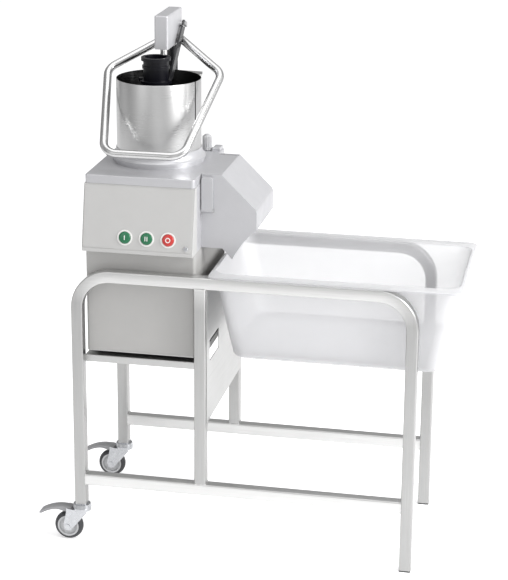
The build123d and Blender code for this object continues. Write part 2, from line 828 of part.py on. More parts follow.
# Ring that carries the hopper, and the hopper with its slot
with BuildPart() as hopper_ring:
    inner = hopper_radius - hopper_wall
    seat_z = lid_top + ring_seat
    with BuildSketch(Plane(origin=(axis_x, axis_y, 0), x_dir=(1, 0, 0), z_dir=(0, -1, 0))):
        with BuildLine():
            skirt = Polyline(
                (inner, lid_top),
                (ring_radius - 3, lid_top),
                (ring_radius - 3, lid_top + ring_plinth - 1),
                (ring_radius, lid_top + ring_plinth),
                (ring_radius, lid_top + ring_plinth + 5),
            )
            flare = Spline(
                skirt @ 1,
                (hopper_radius + 3.5, lid_top + ring_height - 11),
                (hopper_radius + 1.5, lid_top + ring_height),
                tangents=((-0.9, 0.6), (-0.1, 1)),
            )
            Polyline(
                flare @ 1,
                (hopper_radius, lid_top + ring_height),
                (hopper_radius, seat_z),
                (inner, seat_z),
                (inner, lid_top),
            )
        make_face()
    revolve(axis=Axis((axis_x, axis_y, 0), (0, 0, 1)))
finish(hopper_ring, "hopper_ring")

with BuildPart() as hopper:
    with BuildSketch(Plane.XY.offset(seat_z)):
        with Locations((axis_x, axis_y)):
            Circle(hopper_radius)
            Circle(hopper_radius - hopper_wall, mode=Mode.SUBTRACT)
    extrude(amount=hopper_rim - seat_z)
    fillet(hopper.edges().group_by(Axis.Z)[-1], hopper_wall / 2 - 0.1)
    slot_x = axis_x + hopper_radius * cos(radians(hopper_slot_angle))
    slot_y = axis_y + hopper_radius * sin(radians(hopper_slot_angle))
    with Locations(Location((slot_x, slot_y, hopper_rim), (0, 0, hopper_slot_angle))):
        Box(6 * hopper_wall, hopper_slot_width, 2 * hopper_slot_depth, mode=Mode.SUBTRACT)
finish(hopper, "hopper")

# Guide sleeve of the sliding column, and the plate that ties it to the hopper
with BuildPart() as guide_sleeve:
    with BuildSketch(Plane.XY.offset(lid_top)):
        with Locations((lever_x, column_y)):
            Circle(sleeve_diameter / 2 + 5)
        with Locations((axis_x, axis_y)):
            Circle(ring_radius, mode=Mode.SUBTRACT)
    extrude(amount=10)
    with Locations((lever_x, column_y, lid_top)):
        Cylinder(sleeve_diameter / 2, sleeve_top - lid_top, align=(Align.CENTER, Align.CENTER, Align.MIN))
        Cylinder(column_diameter / 2 + running, sleeve_top - lid_top,
                 align=(Align.CENTER, Align.CENTER, Align.MIN), mode=Mode.SUBTRACT)
finish(guide_sleeve, "guide_sleeve")

with BuildPart() as hopper_bracket:
    with BuildSketch(Plane.XY.offset(hopper_rim - 10)):
        with BuildLine():
            Polyline(
                (lever_x, axis_y + hopper_radius - 6),
                (axis_x + 60, axis_y + 60),
                (axis_x + 76, axis_y + 84),
                (axis_x + 70, column_y - 2),
                (lever_x, column_y + 4),
                close=True,
            )
        make_face()
        with Locations((axis_x, axis_y)):
            Circle(hopper_radius, mode=Mode.SUBTRACT)
        with Locations((lever_x, column_y)):
            Circle(sleeve_diameter / 2, mode=Mode.SUBTRACT)
    extrude(amount=4)
finish(hopper_bracket, "hopper_bracket")

with BuildPart() as hinge_knob:
    with BuildSketch(Plane.XY.offset(lid_top + gap)):
        with Locations((knob_x, knob_y)):
            Circle(knob_diameter / 2)
            with PolarLocations(knob_diameter / 2 + 0.6, knob_flutes):
                Circle(1.4, mode=Mode.SUBTRACT)
    extrude(amount=knob_height - gap)
    with Locations((knob_x, knob_y, lid_top + knob_height)):
        Cylinder(knob_diameter / 2 - 4, 2, align=(Align.CENTER, Align.CENTER, Align.MIN))
    with Locations((knob_x, knob_y, lid_top + gap)):
        Cylinder(knob_stem / 2, knob_stem_length, align=(Align.CENTER, Align.CENTER, Align.MAX))
finish(hinge_knob, "hinge_knob")

# Latch strap beside the console, turning on a pin in a small bracket
latch_left = body_right + 2.5
latch_back = chute_front - gap
latch_y = latch_back - latch_thickness / 2
latch_pin_z = latch_bottom + latch_thickness / 2
latch_top = latch_bottom + latch_length
with BuildPart() as latch_pin:
    with Locations((latch_left + latch_width / 2, latch_y, latch_pin_z)):
        Cylinder(latch_pin_diameter / 2, latch_width + 2 * (gap + latch_ear), rotation=(0, 90, 0))
    for x in (latch_left - gap - latch_ear, latch_left + latch_width + gap):
        box_between((x, latch_y - 4, latch_pin_z - 4), (x + latch_ear, chute_front, latch_pin_z + 4))
finish(latch_pin, "latch_pin")

with BuildPart() as latch_strap:
    # Seen from the side, with its foot rounded about the pin
    with BuildSketch(Plane(origin=(latch_left, 0, 0), x_dir=(0, 1, 0), z_dir=(1, 0, 0))):
        with Locations((latch_y, latch_pin_z)):
            Circle(latch_thickness / 2)
        with Locations((latch_y, (latch_pin_z + latch_top) / 2)):
            Rectangle(latch_thickness, latch_top - latch_pin_z)
    extrude(amount=latch_width)
    fillet(latch_strap.edges().filter_by(Axis.Y).group_by(Axis.Z)[-1], 4)
    with Locations((latch_left + latch_width / 2, latch_y, latch_pin_z)):
        Cylinder(latch_pin_diameter / 2 + running, latch_width + 1, rotation=(0, 90, 0), mode=Mode.SUBTRACT)
finish(latch_strap, "latch_strap")

# Drive shaft, ejector, cutting disc, blades and hub nut
with BuildPart() as drive_shaft:
    with Locations((axis_x, axis_y, shaft_bottom)):
        Cylinder(shaft_diameter / 2, shaft_top - shaft_bottom, align=(Align.CENTER, Align.CENTER, Align.MIN))
finish(drive_shaft, "drive_shaft")

ejector_bottom = chamber_floor + floor_thickness
ejector_hub_height = disc_bottom - ejector_bottom
with BuildPart() as ejector:
    with Locations((axis_x, axis_y, ejector_bottom)):
        Cylinder(ejector_radius, ejector_plate, align=(Align.CENTER, Align.CENTER, Align.MIN))
        Cylinder(ejector_hub_radius, ejector_hub_height, align=(Align.CENTER, Align.CENTER, Align.MIN))
    with BuildSketch(Plane.XY.offset(ejector_bottom + ejector_plate)):
        with Locations((axis_x, axis_y)):
            with PolarLocations((ejector_hub_radius + ejector_radius) / 2 - 1, ejector_vanes):
                Rectangle(ejector_radius - ejector_hub_radius, ejector_vane_width)
    extrude(amount=ejector_vane, taper=5)
    with Locations((axis_x, axis_y, ejector_bottom)):
        Cylinder(shaft_diameter / 2, ejector_hub_height,
                 align=(Align.CENTER, Align.CENTER, Align.MIN), mode=Mode.SUBTRACT)
finish(ejector, "ejector")

with BuildPart() as cutting_disc:
    with Locations((axis_x, axis_y, disc_bottom)):
        Cylinder(disc_radius, disc_thickness, align=(Align.CENTER, Align.CENTER, Align.MIN))
        Cylinder(shaft_diameter / 2, disc_thickness, align=(Align.CENTER, Align.CENTER, Align.MIN),
                 mode=Mode.SUBTRACT)
    with BuildSketch(Plane.XY.offset(disc_bottom)):
        with Locations((axis_x, axis_y)):
            with PolarLocations(disc_radius - 8 - blade_length / 2, blade_count):
                SlotOverall(blade_length, 9)
    extrude(amount=disc_thickness, mode=Mode.SUBTRACT)
finish(cutting_disc, "cutting_disc")

with BuildPart() as disc_blades:
    with BuildSketch(Plane.XY.offset(disc_bottom + disc_thickness)):
        with Locations((axis_x, axis_y)):
            with PolarLocations(disc_radius - 8 - blade_length / 2, blade_count):
                with Locations((0, blade_width / 2 + 4)):
                    Rectangle(blade_length, blade_width)
    extrude(amount=blade_rise, taper=40)
finish(disc_blades, "disc_blades")

with BuildPart() as hub_nut:
    with Locations((axis_x, axis_y, shaft_top)):
        Cylinder(shaft_diameter / 2 + 4, hub_nut_height, align=(Align.CENTER, Align.CENTER, Align.MIN))
    chamfer(hub_nut.edges().group_by(Axis.Z)[-1], 2)
finish(hub_nut, "hub_nut")

# Lever head: the block, cast round the column's top, with a round boss for the handle
loop_front = body_front + loop_front_offset
loop_hub = body_front + loop_hub_offset
loop_rise = loop_hub_height - loop_front_height
loop_run = loop_hub - loop_front
loop_slope = hypot(loop_rise, loop_run)
block_left = lever_x - block_width / 2
block_right = lever_x + block_width / 2
rod_x = axis_x
rod_y = axis_y + rod_offset
with BuildPart() as lever_block:
    box_between((block_left, body_front + block_front, block_bottom),
                (block_right, body_front + block_front + block_length, block_top))
    with Locations((lever_x, loop_hub, loop_hub_height)):
        Cylinder(loop_tube / 2 + 6, block_width, rotation=(0, 90, 0))
    fillet(lever_block.edges().filter_by(Axis.Z).group_by(Axis.Y)[0], 4)
    fillet(lever_block.edges().filter_by(Axis.X).group_by(Axis.Z)[-1], 3)
    with Locations((lever_x, column_y, block_bottom)):
        Cylinder(column_diameter / 2, 2 * column_seat, mode=Mode.SUBTRACT)
    with Locations((rod_x, rod_y, block_bottom)):
        Cylinder(rod_diameter / 2, 40, mode=Mode.SUBTRACT)
finish(lever_block, "lever_block")

with BuildPart() as lift_column:
    with Locations((lever_x, column_y, column_bottom)):
        Cylinder(column_diameter / 2, block_bottom + column_seat - column_bottom,
                 align=(Align.CENTER, Align.CENTER, Align.MIN))
finish(lift_column, "lift_column")

# Handle: one bent tube in a leaning plane, round the hopper
loop_plane = Plane(origin=(lever_x, loop_front, loop_front_height), x_dir=(1, 0, 0),
                   z_dir=(0, -loop_rise / loop_slope, loop_run / loop_slope))
with BuildPart() as lever_loop:
    with BuildLine(loop_plane):
        handle = FilletPolyline(
            (-loop_end_half, loop_slope),
            (-loop_wide_half, loop_wide_distance),
            (-loop_front_half, 0),
            (loop_front_half, 0),
            (loop_wide_half, loop_wide_distance),
            (loop_end_half, loop_slope),
            radius=loop_bend,
        )
    with BuildSketch(Plane(origin=handle @ 0, z_dir=handle % 0)):
        Circle(loop_tube / 2)
        Circle(loop_tube / 2 - loop_wall, mode=Mode.SUBTRACT)
    sweep()
    # The ends are cut flush with the block's sides
    cut_between((block_left, loop_hub - 60, loop_hub_height - 60),
                (block_right, loop_hub + 60, loop_hub_height + 60))
finish(lever_loop, "lever_loop")

# Pusher: a plate with ribs, the long feed tube, its rim and the collar
tube_x = axis_x - feed_tube_offset
plate_radius = hopper_radius - hopper_wall - pusher_clearance
with BuildPart() as pusher:
    with Locations((axis_x, axis_y, pusher_bottom)):
        Cylinder(plate_radius, pusher_plate, align=(Align.CENTER, Align.CENTER, Align.MIN))
    with BuildSketch(Plane.XY.offset(pusher_bottom + pusher_plate)):
        with Locations((axis_x, axis_y)):
            with PolarLocations(plate_radius / 2, 6, start_angle=20):
                Rectangle(plate_radius - 6, 3)
            Circle(plate_radius)
            Circle(plate_radius - 3, mode=Mode.SUBTRACT)
    extrude(amount=pusher_rib)
    with Locations((tube_x, axis_y, pusher_bottom)):
        Cylinder(feed_tube_radius, feed_tube_top - pusher_bottom, align=(Align.CENTER, Align.CENTER, Align.MIN))
    with Locations((tube_x, axis_y, feed_tube_top - tube_rim_height)):
        Cylinder(tube_rim_radius, tube_rim_height, align=(Align.CENTER, Align.CENTER, Align.MIN))
    with Locations((tube_x, axis_y, feed_tube_top - 24)):
        Cylinder(feed_tube_radius + 2.5, 6, align=(Align.CENTER, Align.CENTER, Align.MIN))
    with Locations((tube_x, axis_y, collar_top - collar_height)):
        Cylinder(collar_radius, collar_height, align=(Align.CENTER, Align.CENTER, Align.MIN))
    with Locations((rod_x, rod_y, collar_top - collar_height)):
        Cylinder(rod_diameter / 2 + 3, collar_height, align=(Align.CENTER, Align.CENTER, Align.MIN))
    with Locations((tube_x - collar_radius, axis_y, collar_top)):
        Cylinder(4.5, 7)
    with Locations((tube_x, axis_y, pusher_bottom)):
        Cylinder(feed_tube_radius - feed_tube_wall, feed_tube_top - pusher_bottom,
                 align=(Align.CENTER, Align.CENTER, Align.MIN), mode=Mode.SUBTRACT)
    with Locations((rod_x, rod_y, pusher_bottom + pusher_plate)):
        Cylinder(rod_diameter / 2, collar_top, align=(Align.CENTER, Align.CENTER, Align.MIN), mode=Mode.SUBTRACT)
finish(pusher, "pusher")

with BuildPart() as pusher_rod:
    with Locations((rod_x, rod_y, pusher_bottom + pusher_plate)):
        Cylinder(rod_diameter / 2, block_bottom + 20 - pusher_bottom - pusher_plate,
                 align=(Align.CENTER, Align.CENTER, Align.MIN))
finish(pusher_rod, "pusher_rod")

# Arm: a flat bar from the block's right side down to the collar, with its bolt and spacer
arm_left = block_right + arm_spacer
arm_plane = Plane(origin=(arm_left, 0, 0), x_dir=(0, 1, 0), z_dir=(1, 0, 0))
arm_bolt_y = loop_hub - 4
arm_bolt_z = loop_hub_height + 24
arm_low_y = axis_y + 8
arm_rise = arm_bolt_z - collar_top
arm_run = arm_bolt_y - arm_low_y
with BuildPart() as pusher_arm:
    with BuildSketch(arm_plane):
        with Locations(((arm_bolt_y + arm_low_y) / 2, (arm_bolt_z + collar_top) / 2)):
            SlotCenterToCenter(hypot(arm_rise, arm_run), arm_width, rotation=degrees(atan2(arm_rise, arm_run)))
        with Locations((arm_low_y, collar_top - arm_width / 2)):
            Rectangle(2 * arm_width, arm_width, mode=Mode.SUBTRACT)
        with Locations((arm_bolt_y, arm_bolt_z)):
            Circle(4, mode=Mode.SUBTRACT)
    extrude(amount=arm_thickness)
finish(pusher_arm, "pusher_arm")

with BuildPart() as arm_bolt:
    with BuildSketch(arm_plane.offset(arm_thickness)):
        with Locations((arm_bolt_y, arm_bolt_z)):
            RegularPolygon(6.5, 6)
    extrude(amount=5)
    with BuildSketch(arm_plane.offset(arm_thickness)):
        with Locations((arm_bolt_y, arm_bolt_z)):
            Circle(4)
    extrude(amount=-arm_thickness)
    with BuildSketch(arm_plane):
        with Locations((arm_bolt_y, arm_bolt_z)):
            Circle(7)
    extrude(amount=-arm_spacer)
finish(arm_bolt, "arm_bolt")
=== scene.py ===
import math

import bmesh
import bpy
import numpy as np
from bpy.props import FloatProperty, FloatVectorProperty, PointerProperty
from mathutils import Matrix, Vector


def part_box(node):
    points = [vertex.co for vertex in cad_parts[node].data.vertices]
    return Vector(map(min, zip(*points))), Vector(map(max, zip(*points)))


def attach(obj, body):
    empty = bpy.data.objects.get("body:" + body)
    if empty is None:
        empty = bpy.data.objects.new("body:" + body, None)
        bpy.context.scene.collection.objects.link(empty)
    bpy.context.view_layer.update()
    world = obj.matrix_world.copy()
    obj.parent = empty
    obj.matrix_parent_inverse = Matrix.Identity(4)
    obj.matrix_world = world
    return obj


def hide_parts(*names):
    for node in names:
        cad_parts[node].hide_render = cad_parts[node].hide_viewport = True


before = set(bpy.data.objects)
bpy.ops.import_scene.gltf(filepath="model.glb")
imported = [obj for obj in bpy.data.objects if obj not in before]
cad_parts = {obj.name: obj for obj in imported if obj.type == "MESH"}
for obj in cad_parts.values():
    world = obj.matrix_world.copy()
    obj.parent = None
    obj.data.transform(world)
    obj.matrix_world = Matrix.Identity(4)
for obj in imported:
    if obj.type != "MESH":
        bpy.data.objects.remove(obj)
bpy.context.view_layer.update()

bl_info = {
    "name": "Vegetable Cutter Finish",
    "version": (1, 0, 0),
    "blender": (4, 5, 0),
    "location": "3D View > Sidebar > Cutter",
    "description": "Dresses a vegetable cutter, its tube stand and its container in their real finishes",
    "category": "Object",
}

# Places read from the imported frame, in metres


def corners(node):
    """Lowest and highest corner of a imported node, as arrays."""
    low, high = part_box(node)
    return np.array(low), np.array(high)


HOPPER_LOW, HOPPER_HIGH = corners("hopper")
AXIS_X, AXIS_Y = (HOPPER_LOW[:2] + HOPPER_HIGH[:2]) / 2
HOPPER_RADIUS = (HOPPER_HIGH[1] - HOPPER_LOW[1]) / 2
RAIL_LOW, RAIL_HIGH = corners("front_side_tube")
TUBE_SIDE = RAIL_HIGH[1] - RAIL_LOW[1]
TUB_LOW, TUB_HIGH = corners("container")
BLOCK_LOW, BLOCK_HIGH = corners("lever_block")
KNOB_LOW, KNOB_HIGH = corners("hinge_knob")
SLOPE_OUT = np.array([0.0, -0.97874, 0.20510])     # the way the console's leaning front faces

# The handle's bent tube, from the same sizes as its solid
LOOP_BEND, LOOP_FRONT_HALF, LOOP_WIDE_HALF, LOOP_WIDE_SHARE = 0.034, 0.085, 0.126, 0.683
LOOP_FRONT_Y, LOOP_FRONT_Z = -0.1435, 0.872
LOOP_RUN, LOOP_RISE = 0.279, 0.204
LOOP_SLOPE = math.hypot(LOOP_RUN, LOOP_RISE)

# What every colour setting has
COLOUR = dict(subtype="COLOR", size=3, min=0, max=1)


class FinishColours(bpy.types.PropertyGroup):
    """Colours of the finishes that a user would change."""

    steel: FloatVectorProperty(name="Stand steel", description="Brushed steel of the stand",
                               default=(0.52, 0.52, 0.515), **COLOUR)
    hopper: FloatVectorProperty(name="Hopper steel", description="Brushed steel of the hopper",
                                default=(0.60, 0.60, 0.60), **COLOUR)
    alloy: FloatVectorProperty(name="Cast alloy", description="Cast bowl, hood, lid and lever block",
                               default=(0.55, 0.55, 0.568), **COLOUR)
    housing: FloatVectorProperty(name="Housing paint", description="Matt paint of the motor housing",
                                 default=(0.43, 0.425, 0.416), **COLOUR)
    console: FloatVectorProperty(name="Console paint", description="Paint of the console case",
                                 default=(0.50, 0.497, 0.49), **COLOUR)
    panel: FloatVectorProperty(name="Panel film", description="Film on the console's front",
                               default=(0.505, 0.502, 0.495), **COLOUR)
    tub: FloatVectorProperty(name="Container plastic", description="Frosted plastic of the container",
                             default=(0.76, 0.76, 0.775), **COLOUR)
    pusher: FloatVectorProperty(name="Pusher plastic", description="Black moulded pusher",
                                default=(0.003, 0.003, 0.006), **COLOUR)
    go: FloatVectorProperty(name="Start green", description="The two green buttons",
                            default=(0.010, 0.145, 0.060), **COLOUR)
    halt: FloatVectorProperty(name="Stop red", description="The red button",
                              default=(0.53, 0.035, 0.03), **COLOUR)


class FinishSizes(bpy.types.PropertyGroup):
    """Sizes of the finish that a user would change."""

    tube_corner: FloatProperty(name="Tube corner", description="Corner radius of the square tube",
                               unit="LENGTH", default=0.0032, min=0.001, max=0.006)
    bend_radius: FloatProperty(name="Bend radius", description="Middle radius of the stand's bends",
                               unit="LENGTH", default=0.0725, min=0.04, max=0.1)
    weld_bead: FloatProperty(name="Weld bead", description="Radius of the weld bead round a joint",
                             unit="LENGTH", default=0.0013, min=0.0, max=0.003)
    cast_edge: FloatProperty(name="Cast edge", description="Edge radius of the cast pieces",
                             unit="LENGTH", default=0.0016, min=0.0002, max=0.004)
    sheet_edge: FloatProperty(name="Sheet edge", description="Edge radius of folded and cut sheet",
                              unit="LENGTH", default=0.0004, min=0.0001, max=0.002)
    small_edge: FloatProperty(name="Small edge", description="Edge radius of small fittings",
                              unit="LENGTH", default=0.0003, min=0.0001, max=0.002)


class StageSettings(bpy.types.PropertyGroup):
    """The floor, the light and the camera."""

    camera_place: FloatVectorProperty(name="Camera place", description="Where the camera stands",
                                      subtype="TRANSLATION", unit="LENGTH", size=3,
                                      default=(0.7415, -3.7479, 1.8047))
    camera_yaw: FloatProperty(name="Camera yaw", description="Turn about the vertical",
                              subtype="ANGLE", default=math.radians(11.379))
    camera_pitch: FloatProperty(name="Camera pitch", description="Tilt below the horizon",
                                subtype="ANGLE", default=math.radians(16.669))
    camera_roll: FloatProperty(name="Camera roll", description="Turn about the line of sight",
                               subtype="ANGLE", default=math.radians(0.408))
    focal_pixels: FloatProperty(name="Focal length in pixels", description="For a frame of 508 by 580",
                                default=1846.7)
    floor_shade: FloatVectorProperty(name="Floor", description="Colour of the floor",
                                     default=(0.93, 0.93, 0.935), **COLOUR)
    sky_strength: FloatProperty(name="Sky", description="Strength of the even light", default=0.95)
    key_power: FloatProperty(name="Key light", description="Power of the overhead light", unit="POWER",
                             default=26.0)


# Arrays of points, and meshes made from them


def quads(rows, columns, wrap_rows=False, wrap_columns=False):
    """Faces of a grid of points stored row by row: each joins a point, the next in its row, and the two in
    the row after. A wrapped direction closes on its start."""
    row = np.arange(rows if wrap_rows else rows - 1)[:, None]
    column = np.arange(columns if wrap_columns else columns - 1)[None, :]
    next_row = (row + 1) % rows
    next_column = (column + 1) % columns
    here, there = row * columns, next_row * columns
    faces = np.broadcast_arrays(here + column, here + next_column, there + next_column, there + column)
    return np.stack(faces, axis=-1).reshape(-1, 4)


def rounded_rectangle(half_x, half_y, corner, steps=6):
    """One anticlockwise turn round a rectangle whose corners are quarter circles: corner centre plus
    corner radius times (cos, sin). Each input may be an array, one value a ring."""
    half_x, half_y, corner = (np.asarray(v, float)[..., None, None] for v in (half_x, half_y, corner))
    angle = np.linspace(0, math.pi / 2, steps + 1)[None, :] + (np.arange(4) * math.pi / 2)[:, None]
    sign_x = np.array([1, -1, -1, 1.0])[:, None]
    sign_y = np.array([1, 1, -1, -1.0])[:, None]
    x = sign_x * (half_x - corner) + corner * np.cos(angle)
    y = sign_y * (half_y - corner) + corner * np.sin(angle)
    return x.reshape(*x.shape[:-2], -1), y.reshape(*y.shape[:-2], -1)


def arc_path(points, radius, steps=14):
    """A path through the given plane points with each inner corner rounded: the corner's arc is sampled
    from its centre, radius / sin(half angle) away along the bisector, between its two tangent points."""
    points = np.asarray(points, float)
    before, corner, after = points[:-2], points[1:-1], points[2:]
    into = (before - corner) / np.linalg.norm(before - corner, axis=1)[:, None]
    out = (after - corner) / np.linalg.norm(after - corner, axis=1)[:, None]
    half = np.arccos(np.clip((into * out).sum(1), -1, 1))[:, None] / 2
    bisector = (into + out) / np.linalg.norm(into + out, axis=1)[:, None]
    centre = corner + bisector * radius / np.sin(half)
    side = (into - out) / np.linalg.norm(into - out, axis=1)[:, None]
    sweep = np.linspace(1, -1, steps + 1)[None, :] * (math.pi / 2 - half)
    arcs = centre[:, None] + radius * (np.sin(sweep)[..., None] * side[:, None]
                                       - np.cos(sweep)[..., None] * bisector[:, None])
    return np.vstack([points[:1], arcs.reshape(-1, points.shape[1]), points[-1:]])


def swept(path, section, normal):
    """The section carried along a path that lies in a plane: each point is path + a * side + b * normal,
    where side is the path's direction crossed with the plane's normal. The ends are closed to a point."""
    path, section, normal = np.asarray(path, float), np.asarray(section, float), np.asarray(normal, float)
    direction = np.gradient(path, axis=0)
    inner = slice(1, -1)
    ahead = path[2:] - path[1:-1]
    behind = path[1:-1] - path[:-2]
    direction[inner] = (ahead / np.linalg.norm(ahead, axis=1)[:, None]
                        + behind / np.linalg.norm(behind, axis=1)[:, None])
    direction /= np.linalg.norm(direction, axis=1)[:, None]
    side = np.cross(direction, normal)
    rings = path[:, None] + section[None, :, :1] * side[:, None] + section[None, :, 1:] * normal
    closed = np.concatenate([np.repeat(path[:1, None], len(section), 1), rings,
                             np.repeat(path[-1:, None], len(section), 1)])
    return closed.reshape(-1, 3), quads(len(closed), len(section), wrap_columns=True)


def turned(profile, steps=96):
    """The profile's (radius, height) pairs turned round the vertical: (r cos t, r sin t, h)."""
    profile = np.asarray(profile, float)
    turn = np.linspace(0, 2 * math.pi, steps, endpoint=False)
    points = np.stack([profile[:, :1] * np.cos(turn), profile[:, :1] * np.sin(turn),
                       np.repeat(profile[:, 1:], steps, 1)], axis=-1)
    return points.reshape(-1, 3), quads(len(profile), steps, wrap_columns=True)


def stacked(rings, centre, steps=6):
    """Rounded rectangles one above the other. Each ring is (half x, half y, corner, height), and a ring of
    no size closes the stack."""
    rings = np.asarray(rings, float)
    x, y = rounded_rectangle(rings[:, 0], rings[:, 1], rings[:, 2], steps)
    points = np.stack([x + centre[0], y + centre[1], np.broadcast_to(rings[:, 3:4], x.shape)], axis=-1)
    return points.reshape(-1, 3), quads(len(rings), x.shape[1], wrap_columns=True)


def placed(points, origin, x_dir, y_dir, z_dir):
    """Points given along three directions from an origin, in the frame's own coordinates."""
    return np.asarray(origin, float) + points @ np.array([x_dir, y_dir, z_dir], float)


def together(*shapes):
    """Several shapes as one list of points and one of faces."""
    points, faces, start = [], [], 0
    for shape_points, shape_faces in shapes:
        points.append(shape_points)
        faces.append(shape_faces + start)
        start += len(shape_points)
    return np.concatenate(points), np.concatenate(faces)


def in_scene(name, data):
    """A new object with its data, linked to the scene."""
    made = bpy.data.objects.new(name, data)
    bpy.context.scene.collection.objects.link(made)
    return made


def add_piece(name, shape, body, material, stands_for=(), sharp=32.0):
    """Makes a closed shape an object at the origin: doubles merged, faces turned outwards, smooth between
    its sharp edges, riding on its body."""
    points, faces = shape
    mesh = bpy.data.meshes.new(name)
    mesh.from_pydata(np.asarray(points, float), [], faces)
    shell = bmesh.new()
    shell.from_mesh(mesh)
    bmesh.ops.remove_doubles(shell, verts=shell.verts, dist=1e-6)
    bmesh.ops.dissolve_degenerate(shell, edges=shell.edges, dist=1e-7)
    bmesh.ops.recalc_face_normals(shell, faces=shell.faces)
    shell.to_mesh(mesh)
    shell.free()
    mesh.shade_smooth()
    mesh.set_sharp_from_angle(angle=math.radians(sharp))
    mesh.materials.append(material)
    piece = in_scene(name, mesh)
    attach(piece, body)
    if stands_for:
        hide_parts(*stands_for)
    return piece


def finish_node(node, material, edge=0.0, segments=2):
    """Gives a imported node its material, smooth shading over its curves, and rounded edges if edge is
    set."""
    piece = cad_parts[node]
    for place in piece.material_slots:
        place.material = material
    piece.data.polygons.foreach_set("use_smooth", np.ones(len(piece.data.polygons), bool))
    weld = piece.modifiers.new("Weld", "WELD")
    weld.merge_threshold = 1e-6
    if edge > 0:
        bevel = piece.modifiers.new("Edges", "BEVEL")
        bevel.width = edge
        bevel.segments = segments
        bevel.limit_method = "ANGLE"
        bevel.angle_limit = math.radians(34)
        even = piece.modifiers.new("Even faces", "WEIGHTED_NORMAL")
        even.weight = 100
    else:
        split = piece.modifiers.new("Sharp edges", "EDGE_SPLIT")
        split.split_angle = math.radians(32)
    return piece


# Shader node groups, each with its own inputs and outputs

LEVEL_GRAIN = (9.0, 1300.0, 1300.0)     # squeeze of the noise for lines along x
LEVEL_PAINTED_LIGHT = 1.6                        # painted highlight: how much lighter the colour of level lines is painted, for the overhead light
UPRIGHT_PAINTED_SHADE = 0.86                        # painted shade: share of the stand's colour that upright lines show


class Graph:
    """A node tree with short calls to add and join nodes."""

    def __init__(self, tree):
        self.tree = tree

    def add(self, kind, **settings):
        """A node, with attributes and unlinked inputs set by name; a socket as a value is linked."""
        node = self.tree.nodes.new(kind)
        inputs = settings.pop("inputs", {})
        for key, value in settings.items():
            setattr(node, key, value)
        for key, value in inputs.items():
            if isinstance(value, bpy.types.NodeSocket):
                self.tree.links.new(value, node.inputs[key])
            else:
                node.inputs[key].default_value = value
        return node

    def math(self, operation, first, second=0.5):
        """One sum on two values or sockets."""
        return self.add("ShaderNodeMath", operation=operation, inputs={0: first, 1: second}).outputs[0]

    def spread(self, value, low, high, to_low=0.0, to_high=1.0):
        """The value mapped from one range to another, kept inside it."""
        ends = {"From Min": low, "From Max": high, "To Min": to_low, "To Max": to_high}
        return self.add("ShaderNodeMapRange", inputs={"Value": value, **ends}).outputs[0]

    def place(self):
        """Where the point lies, in the piece's own coordinates."""
        return self.add("ShaderNodeTexCoord").outputs["Object"]

    def noise(self, vector, scale, detail, roughness=0.5):
        """A cloudy noise from 0 to 1."""
        return self.add("ShaderNodeTexNoise", inputs={
            "Vector": vector, "Scale": scale, "Detail": detail, "Roughness": roughness}).outputs["Fac"]

    def shared(self, name, **inputs):
        """A node of one of the shared groups, which is built the first time it is asked for."""
        tree = bpy.data.node_groups.get(name) or GROUP_MAKERS[name]()
        return self.add("ShaderNodeGroup", node_tree=tree, inputs=inputs)

    def bumped(self, height, strength, depth):
        """A normal lifted by a height, where a height of 1 is depth metres at full strength."""
        return self.add("ShaderNodeBump", inputs={
            "Strength": strength, "Distance": depth, "Height": height}).outputs[0]

    def feed(self, node, **sockets):
        """Joins sockets to a node's inputs, whose names have _ for a space."""
        for name, socket in sockets.items():
            self.tree.links.new(socket, node.inputs[name.replace("_", " ")])

    def blend(self, share, first, second):
        """Two colours mixed by a share."""
        node = self.add("ShaderNodeMix", data_type="RGBA")
        for socket, value in ((node.inputs[0], share), (node.inputs[6], first), (node.inputs[7], second)):
            if isinstance(value, bpy.types.NodeSocket):
                self.tree.links.new(value, socket)
            else:
                socket.default_value = value
        return node.outputs[2]


def new_group(name, inputs, outputs):
    """An empty shader group with float, vector or colour sockets; returns its graph and its ends."""
    tree = bpy.data.node_groups.new(name, "ShaderNodeTree")
    for socket, kind, value in inputs:
        made = tree.interface.new_socket(name=socket, in_out="INPUT", socket_type=kind)
        made.default_value = value
    for socket, kind in outputs:
        tree.interface.new_socket(name=socket, in_out="OUTPUT", socket_type=kind)
    graph = Graph(tree)
    return graph, graph.add("NodeGroupInput"), graph.add("NodeGroupOutput")


FLOAT, VECTOR = "NodeSocketFloat", "NodeSocketVector"


def grain_group():
    """Brush lines: a fine noise squeezed by Stretch along two axes, so it runs on along the third, with a
    slow noise that makes some lines fainter. Lines goes from 0 to 1."""
    graph, start, end = new_group(
        "Brush grain", [("Stretch", VECTOR, (900.0, 900.0, 6.0)), ("Patches", FLOAT, 9.0)],
        [("Lines", FLOAT), ("Haze", FLOAT)])
    place = graph.place()
    squeezed = graph.add("ShaderNodeVectorMath", operation="MULTIPLY",
                         inputs={0: place, 1: start.outputs["Stretch"]})
    lines = graph.noise(squeezed.outputs[0], 1.0, 3.0, 0.6)
    haze = graph.noise(place, start.outputs["Patches"], 4.0, 0.55)
    graph.feed(end, Lines=graph.spread(lines, 0.25, 0.75), Haze=graph.spread(haze, 0.3, 0.7))
    return graph.tree


